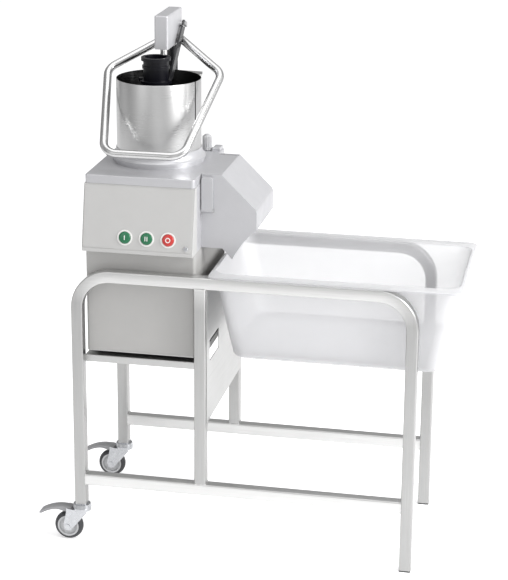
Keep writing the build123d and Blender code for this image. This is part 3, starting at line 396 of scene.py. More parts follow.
def turned_grain_group():
    """Lines round a vertical axis: the height and the distance from the axis, squeezed into thin bands,
    feed a noise together with a little of the angle. Reach is the distance."""
    graph, start, end = new_group(
        "Turned grain", [("Axis", VECTOR, (0.0, 0.0, 0.0)), ("Bands", FLOAT, 900.0)],
        [("Lines", FLOAT), ("Haze", FLOAT), ("Reach", FLOAT)])
    place = graph.place()
    local = graph.add("ShaderNodeVectorMath", operation="SUBTRACT",
                      inputs={0: place, 1: start.outputs["Axis"]})
    parts = graph.add("ShaderNodeSeparateXYZ", inputs={0: local.outputs[0]}).outputs
    flat = graph.add("ShaderNodeCombineXYZ", inputs={"X": parts["X"], "Y": parts["Y"]})
    reach = graph.add("ShaderNodeVectorMath", operation="LENGTH",
                      inputs={0: flat.outputs[0]}).outputs["Value"]
    banded = graph.add("ShaderNodeCombineXYZ", inputs={
        "X": graph.math("MULTIPLY", graph.math("ARCTAN2", parts["Y"], parts["X"]), 1.6),
        "Y": graph.math("MULTIPLY", parts["Z"], start.outputs["Bands"]),
        "Z": graph.math("MULTIPLY", reach, start.outputs["Bands"])})
    lines = graph.spread(graph.noise(banded.outputs[0], 1.0, 3.0), 0.25, 0.75)
    graph.feed(end, Lines=lines, Haze=graph.spread(graph.noise(place, 14.0, 3.0), 0.3, 0.7), Reach=reach)
    return graph.tree


def pebble_group():
    """The skin of paint, castings and mouldings: a fine noise for the height and a slow one for stains."""
    graph, start, end = new_group(
        "Moulded skin", [("Fineness", FLOAT, 1400.0), ("Patches", FLOAT, 12.0)],
        [("Height", FLOAT), ("Stain", FLOAT)])
    place = graph.place()
    stain = graph.noise(place, start.outputs["Patches"], 5.0, 0.6)
    graph.feed(end, Height=graph.noise(place, start.outputs["Fineness"], 2.0),
               Stain=graph.spread(stain, 0.35, 0.7))
    return graph.tree


def worn_edge_group():
    """How sharply the surface turns: one minus the product of the true normal and a rounded one, widened
    to a mask and broken up by a noise."""
    graph, start, end = new_group("Worn edges", [("Width", FLOAT, 0.0012), ("Amount", FLOAT, 0.6)],
                                  [("Mask", FLOAT)])
    rounded = graph.add("ShaderNodeBevel", samples=4, inputs={"Radius": start.outputs["Width"]})
    true = graph.add("ShaderNodeNewGeometry").outputs["True Normal"]
    match = graph.add("ShaderNodeVectorMath", operation="DOT_PRODUCT",
                      inputs={0: rounded.outputs[0], 1: true})
    turn = graph.spread(match.outputs["Value"], 0.80, 0.995, 1.0, 0.0)
    breaks = graph.spread(graph.noise(graph.place(), 160.0, 3.0), 0.35, 0.6, 0.2, 1.0)
    worn = graph.math("MULTIPLY", turn, breaks)
    graph.feed(end, Mask=graph.math("MULTIPLY", worn, start.outputs["Amount"]))
    return graph.tree


GROUP_MAKERS = {"Brush grain": grain_group, "Turned grain": turned_grain_group,
                "Moulded skin": pebble_group, "Worn edges": worn_edge_group}


def blank_material(name, **fixed):
    """A material with one Principled shader; the sockets that don't change over the surface are set here."""
    found = bpy.data.materials.get(name)
    if found:
        return found, None, None
    material = bpy.data.materials.new(name)
    material.use_nodes = True
    graph = Graph(material.node_tree)
    shader = next(n for n in material.node_tree.nodes if n.type == "BSDF_PRINCIPLED")
    for socket, value in fixed.items():
        shader.inputs[socket.replace("_", " ")].default_value = value
    return material, graph, shader


def opaque(colour):
    """A colour with full alpha."""
    return (*colour[:3], 1.0)


def shade(colour, share):
    """A colour made lighter or darker by a share."""
    return tuple(min(1.0, c * share) for c in colour[:3]) + (1.0,)


def brushed_metal(name, colour, roughness, stretch=None, axis=None, contrast=0.10, bump=0.05, patches=9.0,
                  painted_shade_inside=0.0, level_from=None):
    """Brushed or turned metal: the grain darkens the colour a little, roughens it and lifts the surface.
    Between the two heights of level_from the run of the brush lines turns from upright to along x, and the
    colour there is painted lighter, a painted highlight for the light from overhead."""
    material, graph, shader = blank_material(name, Metallic=1.0)
    if graph is None:
        return material
    if axis is None:
        grain = graph.shared("Brush grain", Stretch=stretch, Patches=patches)
    else:
        grain = graph.shared("Turned grain", Axis=axis)
    lines, haze = grain.outputs["Lines"], grain.outputs["Haze"]
    tone = graph.blend(lines, shade(colour, 1 - contrast), shade(colour, 1 + contrast / 2))
    tone = graph.blend(graph.math("MULTIPLY", haze, 0.35), tone, shade(colour, 0.93))
    if level_from:
        height = graph.add("ShaderNodeSeparateXYZ", inputs={0: graph.place()}).outputs["Z"]
        above = graph.spread(height, *level_from)
        turned_over = graph.math("GREATER_THAN", above, 0.5)
        run = graph.add("ShaderNodeMix", data_type="VECTOR",
                        inputs={0: turned_over, 4: stretch, 5: LEVEL_GRAIN})
        graph.feed(grain, Stretch=run.outputs[1])
        # painted highlight: the level stretch gets a lighter colour for the light from overhead
        level = graph.blend(lines, shade(colour, LEVEL_PAINTED_LIGHT * 0.9), shade(colour, LEVEL_PAINTED_LIGHT * 1.05))
        tone = graph.blend(above, tone, level)
    # painted shade: inside the given radius the colour is darkened to a tenth, for the hopper's dark inside
    if painted_shade_inside:
        inner = graph.spread(grain.outputs["Reach"], painted_shade_inside - 0.0001, painted_shade_inside, 1.0, 0.0)
        tone = graph.blend(inner, tone, shade(colour, 0.10))
    rough = graph.math("ADD", graph.spread(lines, 0.0, 1.0, roughness + 0.06, roughness - 0.04),
                       graph.math("MULTIPLY", haze, 0.05))
    graph.feed(shader, Base_Color=tone, Roughness=rough, Normal=graph.bumped(lines, bump, 0.0002))
    return material


def skinned(name, colour, roughness, fineness=1400.0, bump=0.08, wear=0.0, wear_colour=(0.8, 0.8, 0.8),
            stain=0.05, **fixed):
    """Paint, casting, plastic or rubber: a fine skin, slow stains and paler worn edges."""
    material, graph, shader = blank_material(name, **fixed)
    if graph is None:
        return material
    skin = graph.shared("Moulded skin", Fineness=fineness).outputs
    tone = graph.blend(skin["Stain"], shade(colour, 1 + stain / 2), shade(colour, 1 - stain))
    if wear > 0:
        edges = graph.shared("Worn edges", Amount=wear)
        tone = graph.blend(edges.outputs["Mask"], tone, opaque(wear_colour))
    rough = graph.spread(skin["Stain"], 0.0, 1.0, roughness - 0.04, roughness + 0.06)
    graph.feed(shader, Base_Color=tone, Roughness=rough, Normal=graph.bumped(skin["Height"], bump, 0.0003))
    return material


# One function for each finish of this object


def colours():
    """The colours that the user may change."""
    return bpy.context.scene.cutter_colours


def sizes():
    """The sizes that the user may change."""
    return bpy.context.scene.cutter_sizes


def leg_steel():
    """Stand tube brushed upright, with painted shade; its level top gets a painted highlight."""
    # painted shade: the stand's colour made darker on the uprights
    return brushed_metal("Leg steel", shade(colours().steel, UPRIGHT_PAINTED_SHADE), 0.30, stretch=(1300.0, 1300.0, 9.0),
                         level_from=(RAIL_HIGH[2] - sizes().bend_radius, RAIL_HIGH[2] - TUBE_SIDE * 0.6))


def rail_steel():
    """Stand tube brushed along its level stretches, painted lighter as a highlight from overhead."""
    # painted highlight: the stand's colour made lighter on the level rails
    return brushed_metal("Rail steel", shade(colours().steel, UPRIGHT_PAINTED_SHADE * LEVEL_PAINTED_LIGHT), 0.30,
                         stretch=LEVEL_GRAIN)


def sheet_steel():
    """Folded sheet brushed along the width."""
    return brushed_metal("Sheet steel", shade(colours().steel, 1.05), 0.34, stretch=(1300.0, 9.0, 1300.0))


def hopper_steel():
    """Hopper wall, brushed round its axis, with painted shade on its inner face."""
    return brushed_metal("Hopper steel", colours().hopper, 0.27, axis=(AXIS_X, AXIS_Y, 0.0), contrast=0.05,
                         bump=0.02, painted_shade_inside=HOPPER_RADIUS - 0.0008)


def polished_tube():
    """The handle: tube polished bright."""
    return brushed_metal("Polished tube", shade(colours().hopper, 1.02), 0.20, stretch=(9.0, 700.0, 700.0),
                         contrast=0.04, bump=0.02)


def turned_steel():
    """Shafts, pins, rods and screws."""
    return brushed_metal("Turned steel", shade(colours().hopper, 1.08), 0.20, stretch=(500.0, 500.0, 900.0),
                         contrast=0.06, bump=0.03)


def zinc_plate():
    """Bright plating of the casters' forks."""
    return brushed_metal("Zinc plate", (0.58, 0.59, 0.61), 0.24, stretch=(120.0, 120.0, 120.0),
                         contrast=0.08, bump=0.04, patches=40.0)


def cast_alloy():
    """The castings' satin skin, paler where edges are rubbed."""
    return skinned("Cast alloy", colours().alloy, 0.38, fineness=1900.0, bump=0.06, wear=0.35,
                   wear_colour=(0.78, 0.78, 0.79), stain=0.04, Metallic=0.45, Specular_IOR_Level=0.5)


def housing_paint():
    """Matt paint of the motor housing."""
    return skinned("Housing paint", colours().housing, 0.46, fineness=1500.0, bump=0.07, stain=0.03,
                   wear=0.2, wear_colour=(0.66, 0.66, 0.64), Specular_IOR_Level=0.45)


def console_paint():
    """Paint of the console case."""
    return skinned("Console paint", colours().console, 0.42, fineness=1500.0, bump=0.06, stain=0.03,
                   wear=0.25, wear_colour=(0.7, 0.7, 0.69))


def panel_film():
    """Matt film on the console's front."""
    return skinned("Panel film", colours().panel, 0.40, fineness=2600.0, bump=0.05, stain=0.025)


def black_moulding():
    """Pusher plastic."""
    return skinned("Black moulding", colours().pusher, 0.34, fineness=1200.0, bump=0.06, stain=0.2, wear=0.5,
                   wear_colour=(0.05, 0.05, 0.06), Specular_IOR_Level=0.28)


def knob_moulding():
    """Pale moulding of the hinge knob."""
    return skinned("Knob moulding", (0.50, 0.50, 0.51), 0.40, fineness=1300.0, bump=0.06, stain=0.05)


def black_enamel():
    """The guide sleeve's enamel."""
    return skinned("Black enamel", (0.016, 0.016, 0.018), 0.28, fineness=900.0, bump=0.04, stain=0.15)


def black_rubber():
    """Feet, caps, gland and seal."""
    return skinned("Black rubber", (0.02, 0.02, 0.021), 0.62, fineness=1100.0, bump=0.2, stain=0.25)


def tyre_rubber():
    """Dark grey tread, scuffed."""
    return skinned("Tyre rubber", (0.045, 0.046, 0.05), 0.58, fineness=900.0, bump=0.25, stain=0.3, wear=0.5,
                   wear_colour=(0.16, 0.16, 0.165))


def hub_moulding():
    """Pale wheel centres."""
    return skinned("Hub moulding", (0.52, 0.525, 0.535), 0.44, fineness=1300.0, bump=0.08, stain=0.06)


def pedal_moulding():
    """Grey pedals, a little scuffed."""
    return skinned("Pedal moulding", (0.30, 0.30, 0.31), 0.42, fineness=1100.0, bump=0.12, stain=0.08,
                   wear=0.4, wear_colour=(0.5, 0.5, 0.51))


def button_gloss(name, colour):
    """A moulded button with a soft shine."""
    return skinned(name, colour, 0.26, fineness=2200.0, bump=0.03, stain=0.05, Coat_Weight=0.3)


def mark_paint():
    """White marks on the buttons."""
    return skinned("Mark paint", (0.82, 0.82, 0.80), 0.45, fineness=2600.0, bump=0.02, stain=0.03)


def bezel_moulding():
    """Pale rings round the buttons."""
    return skinned("Bezel moulding", (0.78, 0.78, 0.76), 0.38, fineness=2200.0, bump=0.04, stain=0.03)


def motor_enamel():
    """Dark enamel of the motor."""
    return skinned("Motor enamel", (0.035, 0.04, 0.05), 0.45, fineness=800.0, bump=0.15, stain=0.2)


def board_laminate():
    """The control board's laminate."""
    return skinned("Board laminate", (0.01, 0.09, 0.03), 0.35, fineness=3000.0, bump=0.02, stain=0.1)


def ejector_moulding():
    """White moulding under the disc."""
    return skinned("Ejector moulding", (0.74, 0.74, 0.72), 0.40, fineness=1600.0, bump=0.05, stain=0.05)


def frosted_plastic():
    """Translucent plastic of the container: a pale colour that lets part of the light and what is behind
    it through, more so face on than along its edges, with a fine frost and flow marks."""
    material, graph, shader = blank_material("Frosted plastic", Roughness=0.42, Subsurface_Weight=0.0,
                                             IOR=1.45, Specular_IOR_Level=0.35)
    if graph is None:
        return material
    skin = graph.shared("Moulded skin", Fineness=1500.0, Patches=7.0).outputs
    facing = graph.add("ShaderNodeLayerWeight", inputs={"Blend": 0.35}).outputs["Facing"]
    body = graph.blend(skin["Stain"], opaque(colours().tub), shade(colours().tub, 0.97))
    tone = graph.blend(graph.spread(facing, 0.2, 0.85), body, shade(colours().tub, 0.72))
    graph.feed(shader, Base_Color=tone, Alpha=graph.spread(facing, 0.0, 1.0, 0.36, 0.92),
               Normal=graph.bumped(skin["Height"], 0.06, 0.0003))
    return material


# Operators: one for each piece or group of like pieces, and one for the stage


class CutterOperator:
    """What the operators share. An error in one of them stops the script."""

    bl_options = {"REGISTER", "UNDO"}


class CUTTER_OT_stage(CutterOperator, bpy.types.Operator):
    """Floor, soft light and the camera at the photograph's angle"""

    bl_idname = "cutter.stage"
    bl_label = "Stage"

    def execute(self, context):
        settings = bpy.context.scene.cutter_stage
        self.camera(settings)
        self.floor(settings)
        self.light(settings)
        return {"FINISHED"}

    def camera(self, settings):
        """The camera looks along (-sin yaw cos pitch, cos yaw cos pitch, -sin pitch)."""
        yaw, pitch = settings.camera_yaw, settings.camera_pitch
        look = Vector((-math.sin(yaw) * math.cos(pitch), math.cos(yaw) * math.cos(pitch), -math.sin(pitch)))
        data = bpy.data.cameras.new("Camera")
        camera = in_scene("Camera", data)
        turn = look.to_track_quat("-Z", "Y").to_matrix().to_4x4()
        roll = Matrix.Rotation(settings.camera_roll, 4, "Z")
        camera.matrix_world = Matrix.Translation(settings.camera_place) @ turn @ roll
        frame_height = 580
        data.sensor_fit = "VERTICAL"
        data.sensor_height = 36.0
        data.lens = settings.focal_pixels / frame_height * data.sensor_height
        data.sensor_width = 36.0
        image_middle = 240
        data.shift_y = (image_middle - frame_height / 2) / frame_height
        data.clip_end = 60.0
        bpy.context.scene.camera = camera

    def floor(self, settings):
        """A plane of one quad that ends short of the camera, so that upright metal mirrors the dark room.
        It glows a little, and more to the camera than to the object."""
        side, near, far = 6.0, 2.3, 9.0
        glow, glow_seen = 0.30, 0.46
        mesh = bpy.data.meshes.new("Floor")
        mesh.from_pydata([(-side, -near, 0), (side, -near, 0), (side, far, 0), (-side, far, 0)], [],
                         [(0, 1, 2, 3)])
        material, graph, shader = blank_material("Floor paint", Roughness=0.8, Specular_IOR_Level=0.1,
                                                 Emission_Color=(1.0, 1.0, 1.0, 1.0))
        seen = graph.add("ShaderNodeLightPath").outputs["Is Camera Ray"]
        cloud = graph.noise(graph.place(), 0.6, 1.0)
        tone = graph.blend(cloud, opaque(settings.floor_shade), shade(settings.floor_shade, 0.99))
        graph.feed(shader, Base_Color=tone, Emission_Strength=graph.spread(seen, 0.0, 1.0, glow, glow_seen))
        mesh.materials.append(material)
        in_scene("Floor", mesh)

    def light(self, settings):
        """A sky brightest in front, with soft upright bands for the metal to mirror, a wide lamp overhead,
        a weak one at the front left and a strong one at the right."""
        rear, front, right, bands, band_count = 0.52, 0.76, 0.16, 0.14, 7.0
        world = bpy.data.worlds.new("Studio")
        world.use_nodes = True
        graph = Graph(world.node_tree)
        sky = next(n for n in world.node_tree.nodes if n.type == "BACKGROUND")
        sky.inputs["Color"].default_value = (1.0, 1.0, 1.0, 1.0)
        way = graph.add("ShaderNodeSeparateXYZ", inputs={
            0: graph.add("ShaderNodeTexCoord").outputs["Generated"]}).outputs
        turn = graph.math("ARCTAN2", way["X"], graph.math("MULTIPLY", way["Y"], -1.0))
        level = graph.spread(graph.math("COSINE", turn), -1.0, 1.0, rear, front)
        level = graph.math("ADD", level, graph.math("MULTIPLY", graph.math("SINE", turn), right))
        wave = graph.math("SINE", graph.math("MULTIPLY", turn, band_count))
        level = graph.math("ADD", level, graph.math("MULTIPLY", wave, bands))
        level = graph.math("MULTIPLY", level, settings.sky_strength)
        seen = graph.add("ShaderNodeLightPath").outputs["Is Camera Ray"]
        strength = graph.add("ShaderNodeMix", inputs={0: seen, 2: level, 3: 1.0})
        graph.feed(sky, Strength=strength.outputs[0])
        bpy.context.scene.world = world
        lamps = (("Overhead lamp", (0.1, 0.0, 3.2), (0.0, 0.0, 0.6), 2.6, 1.1),
                 ("Front lamp", (-1.6, -3.4, 2.0), (0.0, 0.0, 0.6), 1.8, 0.25),
                 ("Side lamp", (3.0, -0.7, 2.2), (-0.1, 0.0, 0.8), 1.8, 4.6))
        for name, place, target, size, share in lamps:
            data = bpy.data.lights.new(name, "AREA")
            data.shape = "SQUARE"
            data.size = size
            data.energy = settings.key_power * share
            look = (Vector(target) - Vector(place)).to_track_quat("-Z", "Y").to_matrix().to_4x4()
            in_scene(name, data).matrix_world = Matrix.Translation(place) @ look
        bpy.context.scene.view_settings.view_transform = "Standard"


def square_section():
    """The outline of the square tube."""
    x, y = rounded_rectangle(TUBE_SIDE / 2, TUBE_SIDE / 2, sizes().tube_corner, 5)
    return np.stack([x, y], axis=-1)


def bar(low, high):
    """A straight length of square tube between two corners of its box, along the box's longest side."""
    low, high = np.asarray(low, float), np.asarray(high, float)
    along = int(np.argmax(high - low))
    middle = (low + high) / 2
    path = np.repeat(middle[None], 2, 0)
    path[:, along] = low[along], high[along]
    return swept(path, square_section(), (0, 1, 0))


def bead(centre, first, second):
    """A weld bead: a thin round wire, its radius rippled along its length, laid round the tube's square
    outline in the plane of two directions."""
    radius, half = sizes().weld_bead, TUBE_SIDE / 2
    ripple_share, ripple_length = 0.18, 0.0016
    x, y = rounded_rectangle(half, half, sizes().tube_corner, 10)
    outline = np.stack([x, y], axis=-1)
    walk = np.concatenate([[0], np.cumsum(np.linalg.norm(np.diff(outline, axis=0), axis=1))])
    even = np.linspace(0, walk[-1], 150, endpoint=False)
    outline = np.stack([np.interp(even, walk, x), np.interp(even, walk, y)], axis=-1)
    outward = outline / np.abs(outline).max(1)[:, None]
    outward /= np.linalg.norm(outward, axis=1)[:, None]
    turn = np.linspace(0, 2 * math.pi, 10, endpoint=False)
    ripple = radius * (1 + ripple_share * np.sin(even / ripple_length))[:, None]
    flat = outline[:, None] + outward[:, None] * (ripple * np.cos(turn))[..., None]
    rise = ripple * np.sin(turn)
    third = np.cross(first, second)
    points = (np.asarray(centre) + flat[..., :1] * np.asarray(first) + flat[..., 1:] * np.asarray(second)
              + rise[..., None] * third)
    return points.reshape(-1, 3), quads(len(outline), len(turn), wrap_rows=True, wrap_columns=True)


class CUTTER_OT_stand(CutterOperator, bpy.types.Operator):
    """Bent side tubes, rails, posts and their weld beads"""

    bl_idname = "cutter.stand"
    bl_label = "Stand tubes"

    def execute(self, context):
        across, deep, up = np.eye(3)
        half, stem_inside = TUBE_SIDE / 2, 0.039
        leg_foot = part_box("caster_stems")[1][2] - stem_inside
        for side in ("front", "rear"):
            low, high = corners(f"{side}_side_tube")
            y = (low[1] + high[1]) / 2
            path = arc_path([(low[0] + half, leg_foot), (low[0] + half, high[2] - half),
                             (high[0] - half, high[2] - half), (high[0] - half, low[2])],
                            sizes().bend_radius, 20)
            upright = np.stack([path[:, 0], np.full(len(path), y), path[:, 1]], axis=-1)
            add_piece(f"{side}_bent_tube", swept(upright, square_section(), deep), "stand",
                      leg_steel(), [f"{side}_side_tube"])
            rail_low, rail_high = corners(f"{side}_low_rail")
            add_piece(f"{side}_lower_rail", bar(rail_low, rail_high), "stand", rail_steel(),
                      [f"{side}_low_rail"])
            post_low, post_high = corners(f"{side}_mid_post")
            add_piece(f"{side}_middle_post", bar(post_low, post_high), "stand", leg_steel(),
                      [f"{side}_mid_post"])
            rail_z = (rail_low[2] + rail_high[2]) / 2
            post_x = (post_low[0] + post_high[0]) / 2
            beads = together(
                bead((rail_low[0], y, rail_z), deep, up), bead((rail_high[0], y, rail_z), deep, up),
                bead((post_x, y, post_low[2]), across, deep), bead((post_x, y, post_high[2]), across, deep))
            add_piece(f"{side}_weld_beads", beads, "stand", rail_steel())
        for node in ("machine_shelf", "splash_panel", "bottom_plate"):
            finish_node(node, sheet_steel(), sizes().sheet_edge)
        finish_node("foot_caps", black_rubber(), sizes().small_edge)
        return {"FINISHED"}


class CUTTER_OT_casters(CutterOperator, bpy.types.Operator):
    """Forks, wheels and brake pedals"""

    bl_idname = "cutter.casters"
    bl_label = "Casters"

    def execute(self, context):
        shoulder, tread_share, pedal_edge, hub_edge = 0.007, 0.98, 0.0012, 0.0006
        for side in ("front", "rear"):
            for node in ("caster_fork", "caster_axle"):
                finish_node(f"{side}_{node}", zinc_plate(), sizes().small_edge)
            finish_node(f"{side}_brake_pedal", pedal_moulding(), pedal_edge)
            low, high = corners(f"{side}_caster_tyre")
            middle = (low + high) / 2
            radius, half = (high[2] - low[2]) / 2, (high[1] - low[1]) / 2
            hub_low, hub_high = corners(f"{side}_caster_hub")
            seat = (hub_high[2] - hub_low[2]) / 2
            bow = np.linspace(-math.pi / 2, math.pi / 2, 15)
            tread = np.stack([radius - shoulder + shoulder * np.cos(bow),
                              half * tread_share * np.sin(bow)], axis=-1)
            tyre = np.vstack([(seat, -half), tread, (seat, half), (seat, -half)])
            turn = dict(origin=middle, x_dir=(1, 0, 0), y_dir=(0, 0, 1), z_dir=(0, 1, 0))
            points, faces = turned(tyre, 72)
            add_piece(f"{side}_tyre", (placed(points, **turn), faces), f"{side}_wheel",
                      tyre_rubber(), [f"{side}_caster_tyre"])
            finish_node(f"{side}_caster_hub", hub_moulding(), hub_edge)
        finish_node("caster_stems", zinc_plate(), sizes().small_edge)
        return {"FINISHED"}


class CUTTER_OT_container(CutterOperator, bpy.types.Operator):
    """The frosted container with its turned-down flange"""

    bl_idname = "cutter.container"
    bl_label = "Container"

    def execute(self, context):
        centre = (TUB_LOW + TUB_HIGH) / 2
        half_x, half_y = (TUB_HIGH[:2] - TUB_LOW[:2]) / 2
        top, bottom = TUB_HIGH[2], TUB_LOW[2]
        lip, side_lip, end_taper, side_taper = 0.005, 0.0285, 0.036, 0.014
        wall_y = half_y - side_lip
        flange, wall, corner, fillet, rim = 0.0036, 0.003, 0.034, 0.012, 0.001
        arc = np.linspace(0, math.pi / 2, 7)

        def ring(level, inset):
            """Wall outline at a level from 0 at the bottom to 1 at the top, moved inwards."""
            away = 1 - level
            return (half_x - lip - end_taper * away - inset, wall_y - side_taper * away - inset,
                    corner - inset * 0.8, bottom + (top - bottom) * level)

        height = top - bottom
        inside = [(0, 0, 0, bottom + wall)]
        for angle in arc[::-1]:
            level = (wall + (fillet - wall) * (1 - math.sin(math.pi / 2 - angle))) / height
            shift = wall + (fillet - wall) * (1 - math.cos(math.pi / 2 - angle))
            inside.append((*ring(0, shift)[:3], bottom + level * height))
        inside += [ring(0.4, wall), ring(0.75, wall), ring(0.985, wall)]
        x, y, r = ring(1, wall)[:3]
        inside.append((x + rim, y + rim, r, top))
        edge = [(half_x - inset, half_y - inset, corner / 2, top - drop) for inset, drop in (
            (0.0015, 0), (0.0004, 0.0005), (0, 0.0015), (0, flange), (0.002, flange))]
        under = [(*ring(1, 0)[:3], top - flange), ring(0.7, 0), ring(0.35, 0)]
        for angle in arc:
            inset = fillet * (1 - math.cos(angle))
            under.append((*ring(0, inset)[:3], bottom + fillet * (1 - math.sin(angle))))
        rings = inside + edge + under + [(0, 0, 0, bottom)]
        add_piece("tub", stacked(rings, centre[:2], 8), "container", frosted_plastic(),
                  ["container"], sharp=40)
        return {"FINISHED"}


class CUTTER_OT_base(CutterOperator, bpy.types.Operator):
    """Motor housing, feet, gland and what is inside"""

    bl_idname = "cutter.base"
    bl_label = "Machine base"

    def execute(self, context):
        finish_node("motor_housing", housing_paint(), sizes().sheet_edge)
        for node in ("machine_feet", "cable_gland", "shaft_seal"):
            finish_node(node, black_rubber(), sizes().small_edge)
        finish_node("motor", motor_enamel())
        finish_node("motor_screws", turned_steel())
        return {"FINISHED"}


def button_dome(radius, top, bottom):
    """Half the outline of a button: nearly flat in the middle, turned down over its last few mm."""
    shoulder = ((0.0016, 0.0009), (0.0006, 0.0014), (0.0001, 0.0023), (0.0, 0.0032))
    return [(0, top), (radius * 0.35, top - 0.00008), (radius * 0.7, top - 0.0004),
            *((radius - inset, top - drop) for inset, drop in shoulder), (radius, bottom), (0, bottom)]


def button_mark(kind, top):
    """One bar, two bars or a ring, raised a little over the button's top."""
    lift = top + 0.00012
    if kind == "ring":
        ring_radius, half_width, half_depth = 0.0046, 0.0009, 0.0003
        turn = np.linspace(0, 2 * math.pi, 9)[:-1]
        section = np.stack([ring_radius + half_width * np.cos(turn),
                            lift - 0.0002 + half_depth * np.sin(turn)], axis=-1)
        return turned(np.vstack([section, section[:1]]), 48)
    half_width, half_length, sunk = 0.00085, 0.0048, 0.001
    side = (half_width, half_length, 0.0005)
    bar_rings = [(0.0, 0.0, 0.0, top - sunk), (*side, top - sunk), (*side, lift - 0.0001),
                 (half_width - 0.0002, half_length - 0.0002, 0.0004, lift), (0, 0, 0, lift)]
    offsets = (0.0,) if kind == "one" else (-0.0022, 0.0022)
    return together(*(stacked(bar_rings, (x, 0.0), 3) for x in offsets))


class CUTTER_OT_console(CutterOperator, bpy.types.Operator):
    """Console case, film, rings, buttons and screw"""

    bl_idname = "cutter.console"
    bl_label = "Console"

    def execute(self, context):
        case_edge, screw_edge = 0.0008, 0.0002
        finish_node("console_case", console_paint(), case_edge)
        finish_node("front_panel", panel_film(), sizes().small_edge)
        finish_node("button_bezels", bezel_moulding(), sizes().small_edge)
        finish_node("panel_screw", zinc_plate(), screw_edge)
        finish_node("control_board", board_laminate())
        up = np.cross((1, 0, 0), SLOPE_OUT)
        for name, colour, slot, kind in (("start", colours().go, "green_button", "one"),
                                         ("pulse", colours().go, "green_button", "two"),
                                         ("stop", colours().halt, "red_button", "ring")):
            button = f"{name}_button"
            points = np.array([v.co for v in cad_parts[button].data.vertices])
            local = np.stack([points[:, 0], points @ up, points @ SLOPE_OUT], axis=-1)
            low, high = local.min(0), local.max(0)
            axes = dict(origin=np.array([(low[0] + high[0]) / 2, 0, 0]) + up * (low[1] + high[1]) / 2,
                        x_dir=(1, 0, 0), y_dir=up, z_dir=SLOPE_OUT)
            shape, faces = turned(button_dome((high[0] - low[0]) / 2, high[2], low[2]), 64)
            gloss = button_gloss(f"{name.title()} button", colour)
            add_piece(f"{name}_cap", (placed(shape, **axes), faces), button, gloss, [button], sharp=50)
            shape, faces = button_mark(kind, high[2])
            add_piece(f"{name}_mark", (placed(shape, **axes), faces), button, mark_paint())
        return {"FINISHED"}


class CUTTER_OT_bowl(CutterOperator, bpy.types.Operator):
    """Cutting bowl with its hood, the disc and the drive"""

    bl_idname = "cutter.bowl"
    bl_label = "Bowl and drive"

    def execute(self, context):
        finish_node("cutting_bowl", cast_alloy(), sizes().cast_edge, 3)
        finish_node("cutting_disc", turned_steel(), sizes().small_edge)
        for node in ("disc_blades", "drive_shaft", "hub_nut"):
            finish_node(node, turned_steel())
        finish_node("ejector", ejector_moulding())
        return {"FINISHED"}


class CUTTER_OT_lid(CutterOperator, bpy.types.Operator):
    """Lid, hopper ring, hopper, sleeve, hinge, knob and latch"""

    bl_idname = "cutter.lid"
    bl_label = "Lid and hopper"

    def execute(self, context):
        for node in ("lid", "hopper_ring"):
            finish_node(node, cast_alloy())
        for node in ("hinge_bracket", "latch_strap"):
            finish_node(node, cast_alloy(), sizes().small_edge)
        for node in ("hinge_pin", "latch_pin"):
            finish_node(node, turned_steel())
        finish_node("hopper_bracket", sheet_steel(), sizes().small_edge)
        finish_node("guide_sleeve", black_enamel())
        finish_node("hopper", hopper_steel())
        flutes, flute_depth, shank = 15, 0.0017, 0.004
        turn = np.linspace(0, 2 * math.pi, 12 * flutes, endpoint=False)
        low, high = KNOB_LOW[2], KNOB_HIGH[2]
        grip = (KNOB_HIGH[0] - KNOB_LOW[0]) / 2
        head = low + 0.0124
        outline = np.array([(0, low, 0), (shank, low, 0), (shank, head, 0), (grip - 0.0015, head, 0.2),
                            (grip, head + 0.0015, 1), (grip, high - 0.006, 1),
                            (grip - 0.0006, high - 0.0042, 1), (grip - 0.003, high - 0.0026, 0.3),
                            (grip - 0.0045, high - 0.0022, 0), (grip - 0.0048, high - 0.0004, 0),
                            (grip - 0.0056, high, 0), (0, high, 0)])
        cut = flute_depth * outline[:, 2:] * (0.5 + 0.5 * np.cos(flutes * turn)) ** 1.5
        radius = outline[:, :1] - cut
        middle = (KNOB_LOW + KNOB_HIGH) / 2
        points = np.stack([middle[0] + radius * np.cos(turn), middle[1] + radius * np.sin(turn),
                           np.repeat(outline[:, 1:2], len(turn), 1)], axis=-1)
        add_piece("ribbed_knob", (points.reshape(-1, 3), quads(len(outline), len(turn), wrap_columns=True)),
                  "knob", knob_moulding(), ["hinge_knob"], sharp=24)
        return {"FINISHED"}


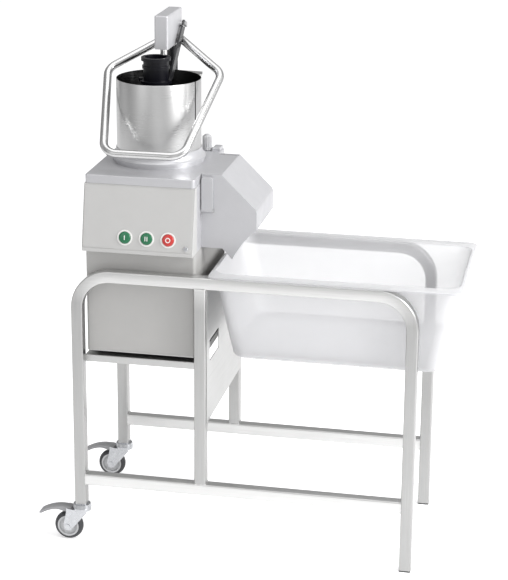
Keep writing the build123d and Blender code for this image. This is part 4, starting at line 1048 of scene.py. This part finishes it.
class CUTTER_OT_lever(CutterOperator, bpy.types.Operator):
    """Lever block, column, handle and arm"""

    bl_idname = "cutter.lever"
    bl_label = "Lever head"

    def execute(self, context):
        block_edge, tube_share, top_half = 0.0012, 0.3, 0.004
        finish_node("lever_block", cast_alloy(), block_edge)
        for node in ("lift_column", "pusher_rod"):
            finish_node(node, turned_steel())
        finish_node("pusher_arm", black_enamel(), sizes().small_edge)
        finish_node("arm_bolt", turned_steel(), sizes().small_edge)
        radius = (BLOCK_HIGH[0] - BLOCK_LOW[0]) * tube_share
        middle_x = (BLOCK_LOW[0] + BLOCK_HIGH[0]) / 2
        slant = np.array([0.0, LOOP_RUN, LOOP_RISE]) / LOOP_SLOPE
        front = np.array([middle_x, LOOP_FRONT_Y, LOOP_FRONT_Z])
        wide = LOOP_SLOPE * LOOP_WIDE_SHARE
        outline = np.array([(-top_half, LOOP_SLOPE), (-LOOP_WIDE_HALF, wide), (-LOOP_FRONT_HALF, 0),
                            (LOOP_FRONT_HALF, 0), (LOOP_WIDE_HALF, wide), (top_half, LOOP_SLOPE)])
        flat = arc_path(outline, LOOP_BEND, 22)
        path = front + flat[:, :1] * np.array([1.0, 0, 0]) + flat[:, 1:] * slant
        ring = np.linspace(0, 2 * math.pi, 36, endpoint=False)
        section = radius * np.stack([np.cos(ring), np.sin(ring)], axis=-1)
        normal = np.cross((1, 0, 0), slant)
        add_piece("bent_handle", swept(path, section, normal), "lever", polished_tube(),
                  ["lever_loop"])
        return {"FINISHED"}


class CUTTER_OT_pusher(CutterOperator, bpy.types.Operator):
    """Pusher plate with its feed tube"""

    bl_idname = "cutter.pusher"
    bl_label = "Pusher"

    def execute(self, context):
        finish_node("pusher", black_moulding())
        return {"FINISHED"}


OPERATORS = (CUTTER_OT_stage, CUTTER_OT_stand, CUTTER_OT_casters, CUTTER_OT_container, CUTTER_OT_base,
             CUTTER_OT_console, CUTTER_OT_bowl, CUTTER_OT_lid, CUTTER_OT_lever, CUTTER_OT_pusher)


class CUTTER_PT_panel(bpy.types.Panel):
    """Lists the sizes, the colours and the operators"""

    bl_label = "Vegetable cutter"
    bl_space_type = "VIEW_3D"
    bl_region_type = "UI"
    bl_category = "Cutter"

    def draw(self, context):
        for group in (context.scene.cutter_sizes, context.scene.cutter_colours, context.scene.cutter_stage):
            column = self.layout.column(align=True)
            for name in group.bl_rna.properties.keys():
                if name not in {"rna_type", "name"}:
                    column.prop(group, name)
        for operator in OPERATORS:
            self.layout.operator(operator.bl_idname)


CLASSES = (FinishColours, FinishSizes, StageSettings, *OPERATORS, CUTTER_PT_panel)


def register():
    """Registers the classes and hangs the settings on the scene."""
    for item in CLASSES:
        bpy.utils.register_class(item)
    bpy.types.Scene.cutter_colours = PointerProperty(type=FinishColours)
    bpy.types.Scene.cutter_sizes = PointerProperty(type=FinishSizes)
    bpy.types.Scene.cutter_stage = PointerProperty(type=StageSettings)


def unregister():
    """Takes away what register() made."""
    del bpy.types.Scene.cutter_stage
    del bpy.types.Scene.cutter_sizes
    del bpy.types.Scene.cutter_colours
    for item in reversed(CLASSES):
        bpy.utils.unregister_class(item)


def main():
    """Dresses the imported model."""
    register()
    for operator in OPERATORS:
        group, name = operator.bl_idname.split(".")
        getattr(getattr(bpy.ops, group), name)()


if __name__ == "__main__":
    main()
